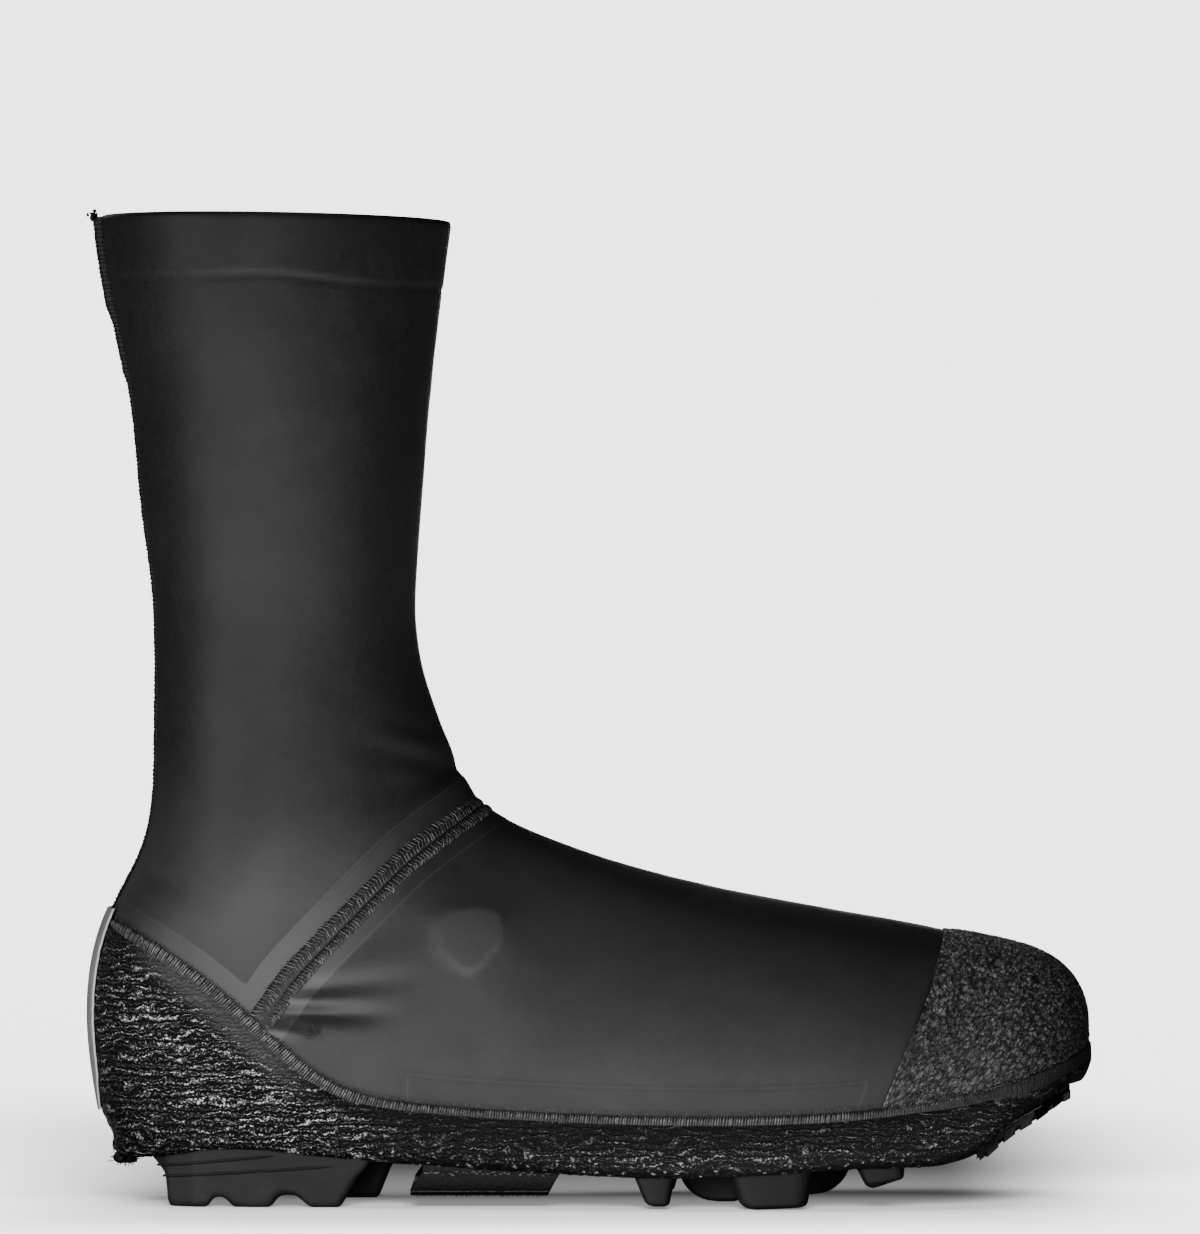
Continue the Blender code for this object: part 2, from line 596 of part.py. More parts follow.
def make_overlays(shop, form, along, around):
    """Pieces that lie on the shell, each cut between two larger forms."""

    def body(offset):
        return grid_mesh(form, offset, along, around, closed=True)

    core = shop.cutter("shell_with_gap", body(GAP))
    below_all = [(CUT_FRONT, CUT_LOW), (CUT_BACK, CUT_LOW)]
    below_seam = rand_line(-BEAD_CLEAR) + below_all
    below = shop.cutter("below_seam", prism_mesh(below_seam, -CUT_HALF, CUT_HALF))
    under_bead = rand_line(BEAD_CLEAR) + below_all
    under = shop.cutter("under_bead", prism_mesh(under_bead, -CUT_HALF, CUT_HALF))
    hole = opening_outline(form, along, OPENING_TRIM)
    opening = shop.cutter("opening", column_mesh(hole, CUT_LOW, CUT_HIGH))

    rand = shop.part("rand", body(OVERLAY_OUT), "rand_rubber")
    cut(rand, below, "INTERSECT")
    cut(rand, core, "DIFFERENCE")
    cut(rand, opening, "DIFFERENCE")

    ahead_of_cap = [tuple(row) for row in TOE_CAP_LINE + TOE_CAP_AHEAD]
    cap_side = shop.cutter("ahead_of_cap", prism_mesh(ahead_of_cap, -CUT_HALF, CUT_HALF))
    toe_cap = shop.part("toe_cap", body(OVERLAY_OUT), "rand_rubber")
    cut(toe_cap, cap_side, "INTERSECT")
    cut(toe_cap, core, "DIFFERENCE")
    cut(toe_cap, under, "DIFFERENCE")

    bead_band = rand_line(BEAD_HALF) + rand_line(-BEAD_HALF)[::-1]
    bead = shop.cutter("bead_band", prism_mesh(bead_band, -CUT_HALF, CUT_HALF))
    rand_seam = shop.part("rand_seam", body(BEAD_OUT), "seam_thread")
    cut(rand_seam, bead, "INTERSECT")
    cut(rand_seam, core, "DIFFERENCE")

    seam_band = shop.cutter("ankle_band", prism_mesh(ankle_band(), -CUT_HALF, CUT_HALF))
    ankle_seam = shop.part("ankle_seam", body(ANKLE_SEAM_OUT), "seam_thread")
    cut(ankle_seam, seam_band, "INTERSECT")
    cut(ankle_seam, core, "DIFFERENCE")
    cut(ankle_seam, under, "DIFFERENCE")

    seam_strip = prism_mesh(back_box(*BACK_SEAM_Z), LEG_AXIS - BACK_SEAM_HALF, LEG_AXIS + BACK_SEAM_HALF)
    back_strip = shop.cutter("back_strip", seam_strip)
    back_seam = shop.part("back_seam", body(BACK_SEAM_OUT), "seam_thread")
    cut(back_seam, back_strip, "INTERSECT")
    cut(back_seam, core, "DIFFERENCE")
    cut(back_seam, under, "DIFFERENCE")

    film_strip = prism_mesh(back_box(*REFLECTOR_Z), LEG_AXIS - REFLECTOR_HALF, LEG_AXIS + REFLECTOR_HALF)
    film = shop.cutter("film_strip", film_strip)
    over_rand = shop.cutter("rand_with_gap", body(REFLECTOR_IN))
    reflector = shop.part("heel_reflector", body(REFLECTOR_OUT), "reflective_film")
    cut(reflector, film, "INTERSECT")
    cut(reflector, over_rand, "DIFFERENCE")


def make_sole_layers(shop, form, along):
    """The plate that rests on the turned hem and the insole on it."""
    for name, finish, grow, low, high in SOLE_LAYERS:
        outline = opening_outline(form, along, grow)
        layer = shop.part(name, column_mesh(outline, CUT_LOW, CUT_HIGH), finish)
        band = prism_mesh(hem_band(form, low, high), -CUT_HALF, CUT_HALF)
        cut(layer, shop.cutter(f"{name}_band", band), "INTERSECT")


def root_line(form, back, front, drop=0.0):
    """Side view of a lug's root, which follows the underside of the plate from front to back."""
    return [(x, float(form.hem_z(x)) + TREAD_SEAT - drop) for x in np.linspace(front, back, ROOT_POINTS)]


def make_lugs(shop, form, along):
    """Heel lugs with their risers and notches, and the lugs of the forefoot."""
    inside = opening_outline(form, along, -TREAD_CLEAR)
    limit = shop.cutter("tread_limit", column_mesh(inside, CUT_LOW, CUT_HIGH))
    for lug in HEEL_LUGS:
        outline = root_line(form, lug.root_back, lug.root_front)
        outline += [(lug.root_back, HEEL_RISER_STEP + HEEL_RISER_RUN)]
        outline += [(lug.root_back + HEEL_RISER_RUN, HEEL_RISER_STEP)]
        outline += [(lug.foot_back - HEEL_RISER_DRAFT, HEEL_RISER_LOW)]
        outline += [(lug.foot_back, lug.low_back)]
        for notch in HEEL_NOTCHES:
            outline += [(notch.wide_back, 0.0), (notch.deep_back, notch.depth)]
            outline += [(notch.deep_front, notch.depth), (notch.wide_front, 0.0)]
        outline += [(lug.foot_front, lug.low_front), (lug.root_front - HEEL_RISER_RUN, HEEL_RISER_LOW)]
        outline += [(lug.root_front, HEEL_RISER_STEP)]
        piece = shop.part(lug.name, prism_mesh(outline, lug.y_from, lug.y_to), "sole_rubber")
        cut(piece, limit, "INTERSECT")
        bevel(piece, LUG_BEVEL)
    for lug in LUGS:
        outline = root_line(form, lug.root_back, lug.root_front)
        outline += [(lug.foot_back, lug.low_back), (lug.foot_front, lug.low_front)]
        piece = shop.part(lug.name, prism_mesh(outline, lug.y_from, lug.y_to), "sole_rubber")
        cut(piece, limit, "INTERSECT")
        bevel(piece, LUG_BEVEL)


def make_toe_tread(shop, form, along):
    """The tread that climbs under the toe: a root in the opening, and a layer with small blocks."""
    start, end = TOE_TREAD_X
    layer = [(x, float(form.hem_z(x)) - TOE_TREAD_TOP) for x in np.linspace(end, start, ROOT_POINTS)]
    layer.append((start, float(form.hem_z(start)) - TOE_TREAD_BASE))
    for index in range(TOE_TREAD_BLOCKS):
        back = TOE_TREAD_FIRST + index * TOE_TREAD_PITCH
        front = back + TOE_TREAD_BLOCK_LENGTH
        for x, drop in ((back, 0.0), (back, TOE_TREAD_BLOCK), (front, TOE_TREAD_BLOCK), (front, 0.0)):
            layer.append((x, float(form.hem_z(x)) - TOE_TREAD_BASE - drop))
    layer.append((end, float(form.hem_z(end)) - TOE_TREAD_BASE))
    tread = shop.part("toe_tread", prism_mesh(layer, -TOE_TREAD_HALF, TOE_TREAD_HALF), "sole_rubber")
    edge = column_mesh(opening_outline(form, along, TOE_TREAD_GROW), CUT_LOW, CUT_HIGH)
    cut(tread, shop.cutter("toe_tread_edge", edge), "INTERSECT")
    back, front = TOE_ROOT_X
    root = root_line(form, back, front, TOE_ROOT_DROP)
    for x in np.linspace(back, front, ROOT_POINTS):
        root.append((x, float(form.hem_z(x)) - TOE_TREAD_TOP - GAP))
    cut(tread, shop.cutter("toe_tread_root", prism_mesh(root, -TOE_ROOT_HALF, TOE_ROOT_HALF)), "UNION")


def make_strap(shop, form):
    """The strap that hangs in a trough under the arch, sewn to the hem on both sides."""
    start, end = STRAP_X
    seat = float(min(form.hem_z(start), form.hem_z(end))) - OVERLAY_OUT - GAP
    low = STRAP_LOW + STRAP_THICK / 2.0
    corner = STRAP_CORNER
    arc = np.linspace(0.0, math.pi / 2.0, STRAP_ARC_POINTS)
    inward = corner * (1.0 - np.cos(arc))
    height = low + corner * (1.0 - np.sin(arc))
    path = [(STRAP_SEAT_OUTER, seat)]
    path += list(zip(STRAP_SEAT_OUTER + inward, height))
    path += list(zip(STRAP_SEAT_INNER - inward[::-1], height[::-1]))
    path.append((STRAP_SEAT_INNER, seat))
    mesh = bmesh.new()
    back = [mesh.verts.new(Vector((start, y, z)) * MM) for y, z in path]
    front = [mesh.verts.new(Vector((end, y, z)) * MM) for y, z in path]
    for index in range(len(path) - 1):
        mesh.faces.new((back[index], front[index], front[index + 1], back[index + 1]))
    strap = shop.part("arch_strap", mesh, "strap_webbing")
    wall = strap.modifiers.new("webbing", "SOLIDIFY")
    wall.thickness = STRAP_THICK * MM
    wall.offset = 0.0
    wall.use_even_offset = True


def make_heel_tab(shop):
    """The rolled end of the hem under the back of the heel."""
    (back, front), (low, high) = HEEL_TAB_X, HEEL_TAB_Z
    outline = [(back, low), (front, low), (front, high), (back, high)]
    mesh = prism_mesh(outline, LEG_AXIS - HEEL_TAB_HALF, LEG_AXIS + HEEL_TAB_HALF)
    bevel(shop.part("heel_tab", mesh, "seam_thread"), HEEL_TAB_ROUND)


def main():
    """Clears the scene and builds every piece."""
    for item in list(bpy.data.objects):
        bpy.data.objects.remove(item, do_unlink=True)
    shop = Workshop()
    form = SockForm()
    along = loop_lines(form)
    around = side_lines(form)
    make_upper(shop, form, along, around)
    make_overlays(shop, form, along, around)
    make_sole_layers(shop, form, along)
    make_lugs(shop, form, along)
    make_toe_tread(shop, form, along)
    make_strap(shop, form)
    make_heel_tab(shop)


main()
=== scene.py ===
"""Looks of a tall right-foot cycling overshoe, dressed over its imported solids.

Lengths are millimetres until a mesh is made. The sock's form repeats the tables that the solids come
from, so every visible skin lies where its solid is. +X runs to the toe, -Y to the outer side, +Z up.
"""

import logging
import math
from dataclasses import dataclass, field
from enum import Enum
from typing import Any, NamedTuple, Optional, Sequence, Union

import bmesh
import bpy
import numpy as np
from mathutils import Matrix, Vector


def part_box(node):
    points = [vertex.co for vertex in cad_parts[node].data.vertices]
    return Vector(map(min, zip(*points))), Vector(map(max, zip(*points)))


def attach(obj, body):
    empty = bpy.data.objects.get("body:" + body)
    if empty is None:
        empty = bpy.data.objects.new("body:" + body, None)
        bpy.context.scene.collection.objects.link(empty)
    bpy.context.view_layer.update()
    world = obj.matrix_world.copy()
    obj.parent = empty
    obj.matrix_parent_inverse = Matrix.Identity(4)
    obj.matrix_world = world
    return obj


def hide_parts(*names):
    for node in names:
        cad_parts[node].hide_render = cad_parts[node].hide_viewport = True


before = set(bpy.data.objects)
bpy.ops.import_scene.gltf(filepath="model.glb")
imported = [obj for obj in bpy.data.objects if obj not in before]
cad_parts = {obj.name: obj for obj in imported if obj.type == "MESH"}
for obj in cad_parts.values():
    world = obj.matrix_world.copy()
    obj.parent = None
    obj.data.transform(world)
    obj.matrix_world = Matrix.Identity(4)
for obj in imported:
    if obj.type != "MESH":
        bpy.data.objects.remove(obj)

LOG = logging.getLogger("overshoe")
MM = 0.001
BODY = "root"
Array = np.ndarray
Amount = Union[float, Array]
Colour = tuple[float, float, float]
Point = tuple[float, float, float]
Object = bpy.types.Object
Material = bpy.types.Material


class Side(Enum):
    """Sides of the foot, by the sign of their place around a loop."""

    OUTER = -1
    INNER = 1


class Section(NamedTuple):
    """One loop of the sock, from its low point to its ridge point."""

    low_x: float
    low_z: float
    ridge_x: float
    ridge_z: float
    wall_share: float
    fullness: float


SECTIONS: dict[str, Section] = {
    "toe_edge": Section(142.4, 37.3, 142.4, 37.3, 0.12, 2.0),
    "toe_bumper": Section(139.6, 36.2, 146.0, 40.4, 0.12, 2.0),
    "toe_tip": Section(135.2, 33.6, 146.0, 46.0, 0.14, 2.0),
    "toe_brow": Section(129.2, 29.9, 145.2, 56.6, 0.15, 2.1),
    "toe_crown": Section(121.5, 25.0, 140.4, 66.5, 0.16, 2.1),
    "toe_top": Section(113.2, 18.0, 130.3, 73.1, 0.17, 2.2),
    "toe_box": Section(104.0, 14.2, 117.0, 76.6, 0.18, 2.2),
    "toe_line": Section(84.0, 13.0, 95.0, 81.2, 0.18, 2.2),
    "ball": Section(55.0, 11.6, 62.0, 87.2, 0.18, 2.2),
    "ball_back": Section(24.0, 10.3, 32.0, 93.2, 0.18, 2.2),
    "waist": Section(-8.0, 11.2, 5.0, 100.4, 0.18, 2.2),
    "instep": Section(-45.0, 13.2, -13.0, 106.9, 0.20, 2.2),
    "heel_front": Section(-85.0, 16.6, -25.0, 112.4, 0.30, 2.1),
    "heel_side": Section(-116.0, 17.2, -31.5, 116.6, 0.38, 2.0),
    "heel_edge": Section(-134.2, 14.9, -34.5, 120.5, 0.42, 2.0),
    "heel_turn": Section(-138.0, 16.6, -35.8, 123.0, 0.43, 2.0),
    "heel_low": Section(-142.3, 28.5, -37.5, 126.5, 0.45, 2.0),
    "heel_back": Section(-145.3, 53.0, -40.2, 132.0, 0.47, 2.0),
    "heel_top": Section(-140.8, 82.0, -44.2, 142.0, 0.49, 2.0),
    "tendon": Section(-130.0, 105.0, -48.0, 153.0, 0.50, 2.0),
    "ankle": Section(-126.8, 135.0, -50.3, 165.0, 0.50, 2.0),
    "shaft_low": Section(-127.1, 176.0, -50.7, 180.0, 0.50, 2.0),
    "shaft_mid": Section(-130.1, 200.0, -49.3, 201.0, 0.50, 2.0),
    "shaft_high": Section(-133.2, 231.0, -46.9, 230.0, 0.50, 2.0),
    "shaft_top": Section(-138.0, 257.0, -44.4, 256.5, 0.50, 2.0),
    "cuff_line": Section(-140.4, 269.0, -43.0, 268.0, 0.50, 2.0),
    "collar": Section(-143.0, 288.5, -40.6, 286.8, 0.50, 2.0),
}


class Plan(NamedTuple):
    """Half widths of the foot to each side of its curved axis."""

    x: float
    axis: float
    lateral: float
    medial: float


PLAN = (
    Plan(-120.0, -1.8, 34.5, 34.5), Plan(-85.0, -1.8, 35.5, 35.0), Plan(-45.0, -1.8, 38.0, 33.5),
    Plan(-8.0, -1.8, 43.5, 37.5), Plan(28.0, -1.3, 49.0, 45.0), Plan(60.0, -0.3, 50.5, 50.0),
    Plan(90.0, 1.7, 48.0, 49.5), Plan(115.0, 3.2, 45.0, 47.5), Plan(141.0, 4.7, 43.0, 46.0),
)


class Leg(NamedTuple):
    """Half width of heel and leg at a height, and how far from the back it is reached."""

    z: float
    half_width: float
    back_round: float


LEG = (
    Leg(15.0, 34.5, 33.0), Leg(50.0, 35.5, 36.0), Leg(80.0, 36.0, 38.0),
    Leg(105.0, 36.5, 40.0), Leg(135.0, 35.5, 40.0), Leg(176.0, 37.0, 39.0),
    Leg(200.0, 40.0, 40.5), Leg(231.0, 44.0, 43.5), Leg(258.0, 47.0, 47.0),
    Leg(289.0, 49.5, 51.5),
)
LEG_AXIS = -1.8


class SeamRow(NamedTuple):
    """A point of a seam in the side view."""

    x: float
    z: float


RAND_LINE = (
    SeamRow(-160.0, 93.0), SeamRow(-140.0, 82.0), SeamRow(-112.0, 65.0),
    SeamRow(-92.0, 47.5), SeamRow(-76.0, 35.5), SeamRow(-54.0, 29.5),
    SeamRow(-20.0, 27.0), SeamRow(50.0, 26.0), SeamRow(84.0, 28.0),
    SeamRow(112.0, 33.0), SeamRow(134.0, 40.5), SeamRow(160.0, 51.0),
)
TOE_CAP_LINE = (SeamRow(79.0, 16.0), SeamRow(84.2, 29.0), SeamRow(96.5, 58.0), SeamRow(104.5, 80.0))
ANKLE_LINE = (
    SeamRow(-31.4, 115.6), SeamRow(-48.8, 103.0), SeamRow(-61.4, 91.3),
    SeamRow(-81.0, 71.2), SeamRow(-90.2, 59.7), SeamRow(-103.5, 40.0),
    SeamRow(-116.0, 18.0),
)


def ease(start: float, end: float, at: Array) -> Array:
    """A smooth step.

    Args:
        start: where it is still 0.
        end: where it reaches 1.
        at: the places asked for.

    Returns:
        The step's values.
    """
    share = np.clip((at - start) / (end - start), 0.0, 1.0)
    return share * share * (3.0 - 2.0 * share)


def bell(at: Array) -> Array:
    """A soft hump of height 1 at 0."""
    return np.exp(-(at * at))


def quarter_round(share: Array) -> Array:
    """A quarter circle that leaves 0 upright and reaches 1 level."""
    return np.sqrt(1.0 - (1.0 - np.clip(share, 0.0, 1.0)) ** 2)


def unit(vectors: Array) -> Array:
    """Vectors brought to length 1."""
    return vectors / np.maximum(np.linalg.norm(vectors, axis=-1, keepdims=True), 1e-12)


def ramp(count: int) -> Array:
    """Even steps from 0 to 1."""
    return np.linspace(0.0, 1.0, count)


def points_at(x: Array, y: Amount, z: Amount) -> Array:
    """Points from coordinates that may be the same along a row or a column."""
    return np.stack(np.broadcast_arrays(x, y, z), axis=-1)


def run_length(points: Array) -> Array:
    """Distance along a line at each of its points."""
    return np.concatenate([[0.0], np.cumsum(np.linalg.norm(np.diff(points, axis=0), axis=1))])


def column(rows: Sequence[NamedTuple], name: str) -> list[float]:
    """One named column of a table."""
    return [getattr(row, name) for row in rows]


def heel_cut(x: Array, z: Array) -> Array:
    """How far the heel's low back corner is drawn in, at points of the side view."""
    return 1.7 * bell((z - 18.5) / 7.0) * ease(-122.0, -138.0, x)


class SmoothCurve:
    """A natural cubic curve of one value through the rows of a table."""

    def __init__(self, knots: Sequence[float], values: Sequence[float]) -> None:
        """Fits the curve.

        Args:
            knots: rising places of the rows.
            values: the rows' values.
        """
        self.knots = np.asarray(knots, float)
        self.values = np.asarray(values, float)
        count = len(self.knots)
        step = np.diff(self.knots)
        slope = np.diff(self.values) / step
        row = np.arange(1, count - 1)
        matrix = np.eye(count)
        matrix[row, row - 1] = step[:-1]
        matrix[row, row] = 2.0 * (step[:-1] + step[1:])
        matrix[row, row + 1] = step[1:]
        right = np.zeros(count)
        right[row] = 6.0 * np.diff(slope)
        self.bend = np.linalg.solve(matrix, right)

    def __call__(self, at: Array) -> Array:
        """The curve's values, held level past both ends.

        Args:
            at: the places asked for.

        Returns:
            The values there.
        """
        at = np.clip(np.asarray(at, float), self.knots[0], self.knots[-1])
        left = np.clip(np.searchsorted(self.knots, at) - 1, 0, len(self.knots) - 2)
        step = self.knots[left + 1] - self.knots[left]
        before = (self.knots[left + 1] - at) / step
        after = 1.0 - before
        straight = before * self.values[left] + after * self.values[left + 1]
        curve = (before**3 - before) * self.bend[left] + (after**3 - after) * self.bend[left + 1]
        return straight + curve * step**2 / 6.0


class Grain:
    """Repeatable smooth noise, for relief that is part of a mesh."""

    SIZE = 256
    GAIN = 1.8

    def __init__(self, seed: int) -> None:
        """Draws the tables of slopes and places from a seed.

        Args:
            seed: what the tables are drawn from.
        """
        draw = np.random.default_rng(seed)
        self.order = draw.permutation(self.SIZE)
        self.slopes = unit(draw.normal(size=(self.SIZE, 3)))
        self.places = draw.random((self.SIZE, 3))

    def pick(self, cell: Array) -> Array:
        """Row of the tables that a lattice cell uses.

        Args:
            cell: lattice cells.

        Returns:
            A row number for each cell.
        """
        last = self.SIZE - 1
        found = self.order[cell[..., 0] & last]
        found = self.order[(found + cell[..., 1]) & last]
        return self.order[(found + cell[..., 2]) & last]

    def wave(self, at: Array) -> Array:
        """Smooth noise of about -1 to 1.

        Args:
            at: points in lattice units.

        Returns:
            One value a point.
        """
        cell = np.floor(at).astype(int)
        local = at - cell
        fade = local**3 * (local * (local * 6.0 - 15.0) + 10.0)
        total = np.zeros(at.shape[:-1])
        for corner in np.ndindex(2, 2, 2):
            step = np.array(corner)
            slope = self.slopes[self.pick(cell + step)]
            weight = np.where(step == 1, fade, 1.0 - fade).prod(axis=-1)
            total += weight * (slope * (local - step)).sum(axis=-1)
        return total * self.GAIN

    def cells(self, at: Array) -> tuple[Array, Array]:
        """Distances to the nearest and the second nearest seed of a broken lattice.

        Args:
            at: points in lattice units.

        Returns:
            The two distances of each point.
        """
        cell = np.floor(at).astype(int)
        near = np.full(at.shape[:-1], 9.0)
        second = near.copy()
        for corner in np.ndindex(3, 3, 3):
            beside = cell + np.array(corner) - 1
            far = np.linalg.norm(at - beside - self.places[self.pick(beside)], axis=-1)
            second = np.minimum(second, np.maximum(near, far))
            near = np.minimum(near, far)
        return near, second


class SockForm:
    """The form of the sock: a fan of loops, each placed by its distance along the sock."""

    TOE_ROUND = 36.0
    LEG_BLEND_Z = (55.0, 115.0)
    LEG_BLEND_X = (30.0, -45.0)
    HEM_SHARE = 0.12
    HEM_ROUND = 7.0
    STEPS = 2000

    def __init__(self) -> None:
        """Fits the curves of all tables."""
        rows = list(SECTIONS.values())
        low = np.array([column(rows, "low_x"), column(rows, "low_z")]).T
        ridge = np.array([column(rows, "ridge_x"), column(rows, "ridge_z")]).T
        steps = np.linalg.norm(np.diff(low, axis=0), axis=1)
        steps = steps + np.linalg.norm(np.diff(ridge, axis=0), axis=1)
        self.stations = np.concatenate([[0.0], np.cumsum(steps / 2.0)])
        self.length = float(self.stations[-1])
        self.low_x, self.low_z, self.ridge_x, self.ridge_z, self.wall_share, self.fullness = (
            SmoothCurve(self.stations, column(rows, name)) for name in Section._fields
        )
        self.axis, self.lateral, self.medial = (
            SmoothCurve(column(PLAN, "x"), column(PLAN, name)) for name in Plan._fields[1:]
        )
        self.half_width, self.back_round = (
            SmoothCurve(column(LEG, "z"), column(LEG, name)) for name in Leg._fields[1:]
        )
        self.heel_edge = self.station("heel_edge")
        self.heel_turn = self.station("heel_turn")
        back = np.linspace(self.heel_edge, self.length, self.STEPS)
        self.back_z = self.low_z(back)
        self.back_x = self.low_x(back)
        hem = np.linspace(self.heel_edge, 0.0, self.STEPS)
        self.hem_line_x = self.low_x(hem)
        self.hem_line_z = self.low_z(hem)

    def station(self, name: str) -> float:
        """Distance along the sock of a named section."""
        return float(self.stations[list(SECTIONS).index(name)])

    def hem_z(self, x: Array) -> Array:
        """Height of the hem line at places along the shoe."""
        return np.interp(x, self.hem_line_x, self.hem_line_z)

    def side_view(self, along: Array, around: Array) -> tuple[Array, Array, Array]:
        """Side view of places on the bare form.

        Args:
            along: distances along the sock.
            around: places on the loops, from -1 (outer hem) over 0 (ridge) to 1 (inner hem).

        Returns:
            x, z and the climb from hem (0) to ridge (1).
        """
        climb = (1.0 - np.cos(math.pi * (1.0 - np.abs(around)))) / 2.0
        low_x = self.low_x(along)
        low_z = self.low_z(along)
        x = low_x + climb * (self.ridge_x(along) - low_x)
        z = low_z + climb * (self.ridge_z(along) - low_z)
        return x, z, climb

    def skin(self, along: Array, around: Array) -> Array:
        """Points of the bare form.

        Args:
            along: distances along the sock.
            around: places on the loops, as in side_view.

        Returns:
            The points.
        """
        x, z, climb = self.side_view(along, around)
        low_x = self.low_x(along)
        wall = self.wall_share(along)
        over = np.clip((climb - wall) / (1.0 - wall), 0.0, 1.0)
        crown = np.sqrt(1.0 - over ** self.fullness(along))
        behind = quarter_round((x - np.interp(z, self.back_z, self.back_x)) / self.back_round(z))
        behind = np.where((np.abs(around) >= 1.0) & (along >= self.heel_edge), 0.0, behind)
        toe = quarter_round((SECTIONS["toe_edge"].low_x - low_x) / self.TOE_ROUND)
        foot = np.where(around < 0.0, self.lateral(low_x), self.medial(low_x)) * toe
        in_leg = ease(*self.LEG_BLEND_Z, z) * ease(*self.LEG_BLEND_X, x)
        width = foot + (self.half_width(z) - foot) * in_leg
        opened = np.clip((self.heel_turn - along) / (self.heel_turn - self.heel_edge), 0.0, 1.0)
        rise = climb * np.hypot(self.ridge_x(along) - low_x, self.ridge_z(along) - self.low_z(along))
        turned = 1.0 - self.HEM_SHARE * opened * (1.0 - quarter_round(rise / self.HEM_ROUND))
        axis = self.axis(x) + (LEG_AXIS - self.axis(x)) * in_leg
        return np.stack([x, axis + np.sign(around) * width * crown * behind * turned, z], axis=-1)

    def outward(self, along: Array, around: Array) -> Array:
        """Unit normals of the bare form.

        Args:
            along: distances along the sock.
            around: places on the loops, as in side_view.

        Returns:
            The normals, level at the centre of the back.
        """
        small_along = 0.05
        small_around = 0.002
        after = np.minimum(np.maximum(along, 1.0) + small_along, self.length)
        before = after - 2.0 * small_along
        middle = (after + before) / 2.0
        right = np.minimum(around + small_around, 1.0)
        left = np.maximum(around - small_around, -1.0)
        across = self.skin(middle, right) - self.skin(middle, left)
        ahead = self.skin(after, around) - self.skin(before, around)
        normal = np.cross(across, ahead)
        at_back = (np.abs(around) > 0.999) & (along >= self.heel_edge)
        normal[..., 1] = np.where(at_back, 0.0, normal[..., 1])
        return unit(normal)

    def surface(self, along: Array, around: Array, height: Amount) -> Array:
        """Points at a height above the bare form, placed as in skin."""
        lift = np.broadcast_to(np.asarray(height, float), np.shape(along))
        return self.skin(along, around) + self.outward(along, around) * lift[..., None]

    def locate(self, x: Array, z: Array) -> tuple[Array, Array]:
        """Finds points of the side view on the form.

        Args:
            x: places along the shoe.
            z: heights.

        Returns:
            Distances along the sock, and places on the loop without their sign.
        """
        along = np.linspace(self.stations[1], self.length, self.STEPS)
        run_x = self.ridge_x(along) - self.low_x(along)
        run_z = self.ridge_z(along) - self.low_z(along)
        reach_x = x[:, None] - self.low_x(along)
        reach_z = z[:, None] - self.low_z(along)
        off = (run_x * reach_z - run_z * reach_x) / np.hypot(run_x, run_z)
        rows = np.arange(len(x))
        best = np.clip(np.abs(off).argmin(axis=1), 1, self.STEPS - 2)
        here = off[rows, best]
        beside = np.where(np.sign(off[rows, best + 1]) != np.sign(here), best + 1, best - 1)
        there = off[rows, beside]
        share = np.clip(here / np.where(here == there, 1.0, here - there), -1.0, 1.0)
        found = along[best] + share * (along[beside] - along[best])
        full = np.hypot(self.ridge_x(found) - self.low_x(found), self.ridge_z(found) - self.low_z(found))
        reach = np.hypot(x - self.low_x(found), z - self.low_z(found))
        climb = np.clip(reach / full, 0.0, 1.0)
        return found, 1.0 - np.arccos(1.0 - 2.0 * climb) / math.pi


class RandLine:
    """The seam line between the shell and the rubber below it."""

    SAMPLES = 161

    def __init__(self, form: SockForm) -> None:
        """Fits the line and finds where it starts at the toe and ends at the heel.

        Args:
            form: the sock's form.
        """
        self.form = form
        self.height = SmoothCurve(column(RAND_LINE, "x"), column(RAND_LINE, "z"))
        along = np.linspace(0.0, form.length, form.STEPS)
        ridge_gap = form.ridge_z(along) - self.height(form.ridge_x(along))
        low_gap = form.low_z(along) - self.height(form.low_x(along))
        self.toe = float(along[np.argmax(ridge_gap > 0.0)])
        self.heel = float(along[np.argmax((low_gap > 0.0) & (along > form.heel_edge))])

    def above(self, x: Array, z: Array) -> Array:
        """Distances above the line in the side view."""
        slope = self.height(x + 0.5) - self.height(x - 0.5)
        return (z - self.height(x)) / np.sqrt(1.0 + slope**2)

    def place(self, along: Array) -> Array:
        """Finds where each loop crosses the line.

        Args:
            along: distances along the sock.

        Returns:
            Places around without their sign.
        """
        share = ramp(self.SAMPLES)
        x, z, _ = self.form.side_view(along[:, None], share[None, :])
        gap = z - self.height(x)
        first = np.argmax(gap < 0.0, axis=1)
        none = ~(gap < 0.0).any(axis=1)
        rows = np.arange(len(along))
        before = np.maximum(first - 1, 0)
        high = gap[rows, before]
        low = gap[rows, first]
        part = np.where(first > 0, high / np.where(high == low, 1.0, high - low), 0.0)
        found = share[before] + part * (share[first] - share[before])
        return np.where(none, 1.0, np.where(first == 0, 0.0, found))


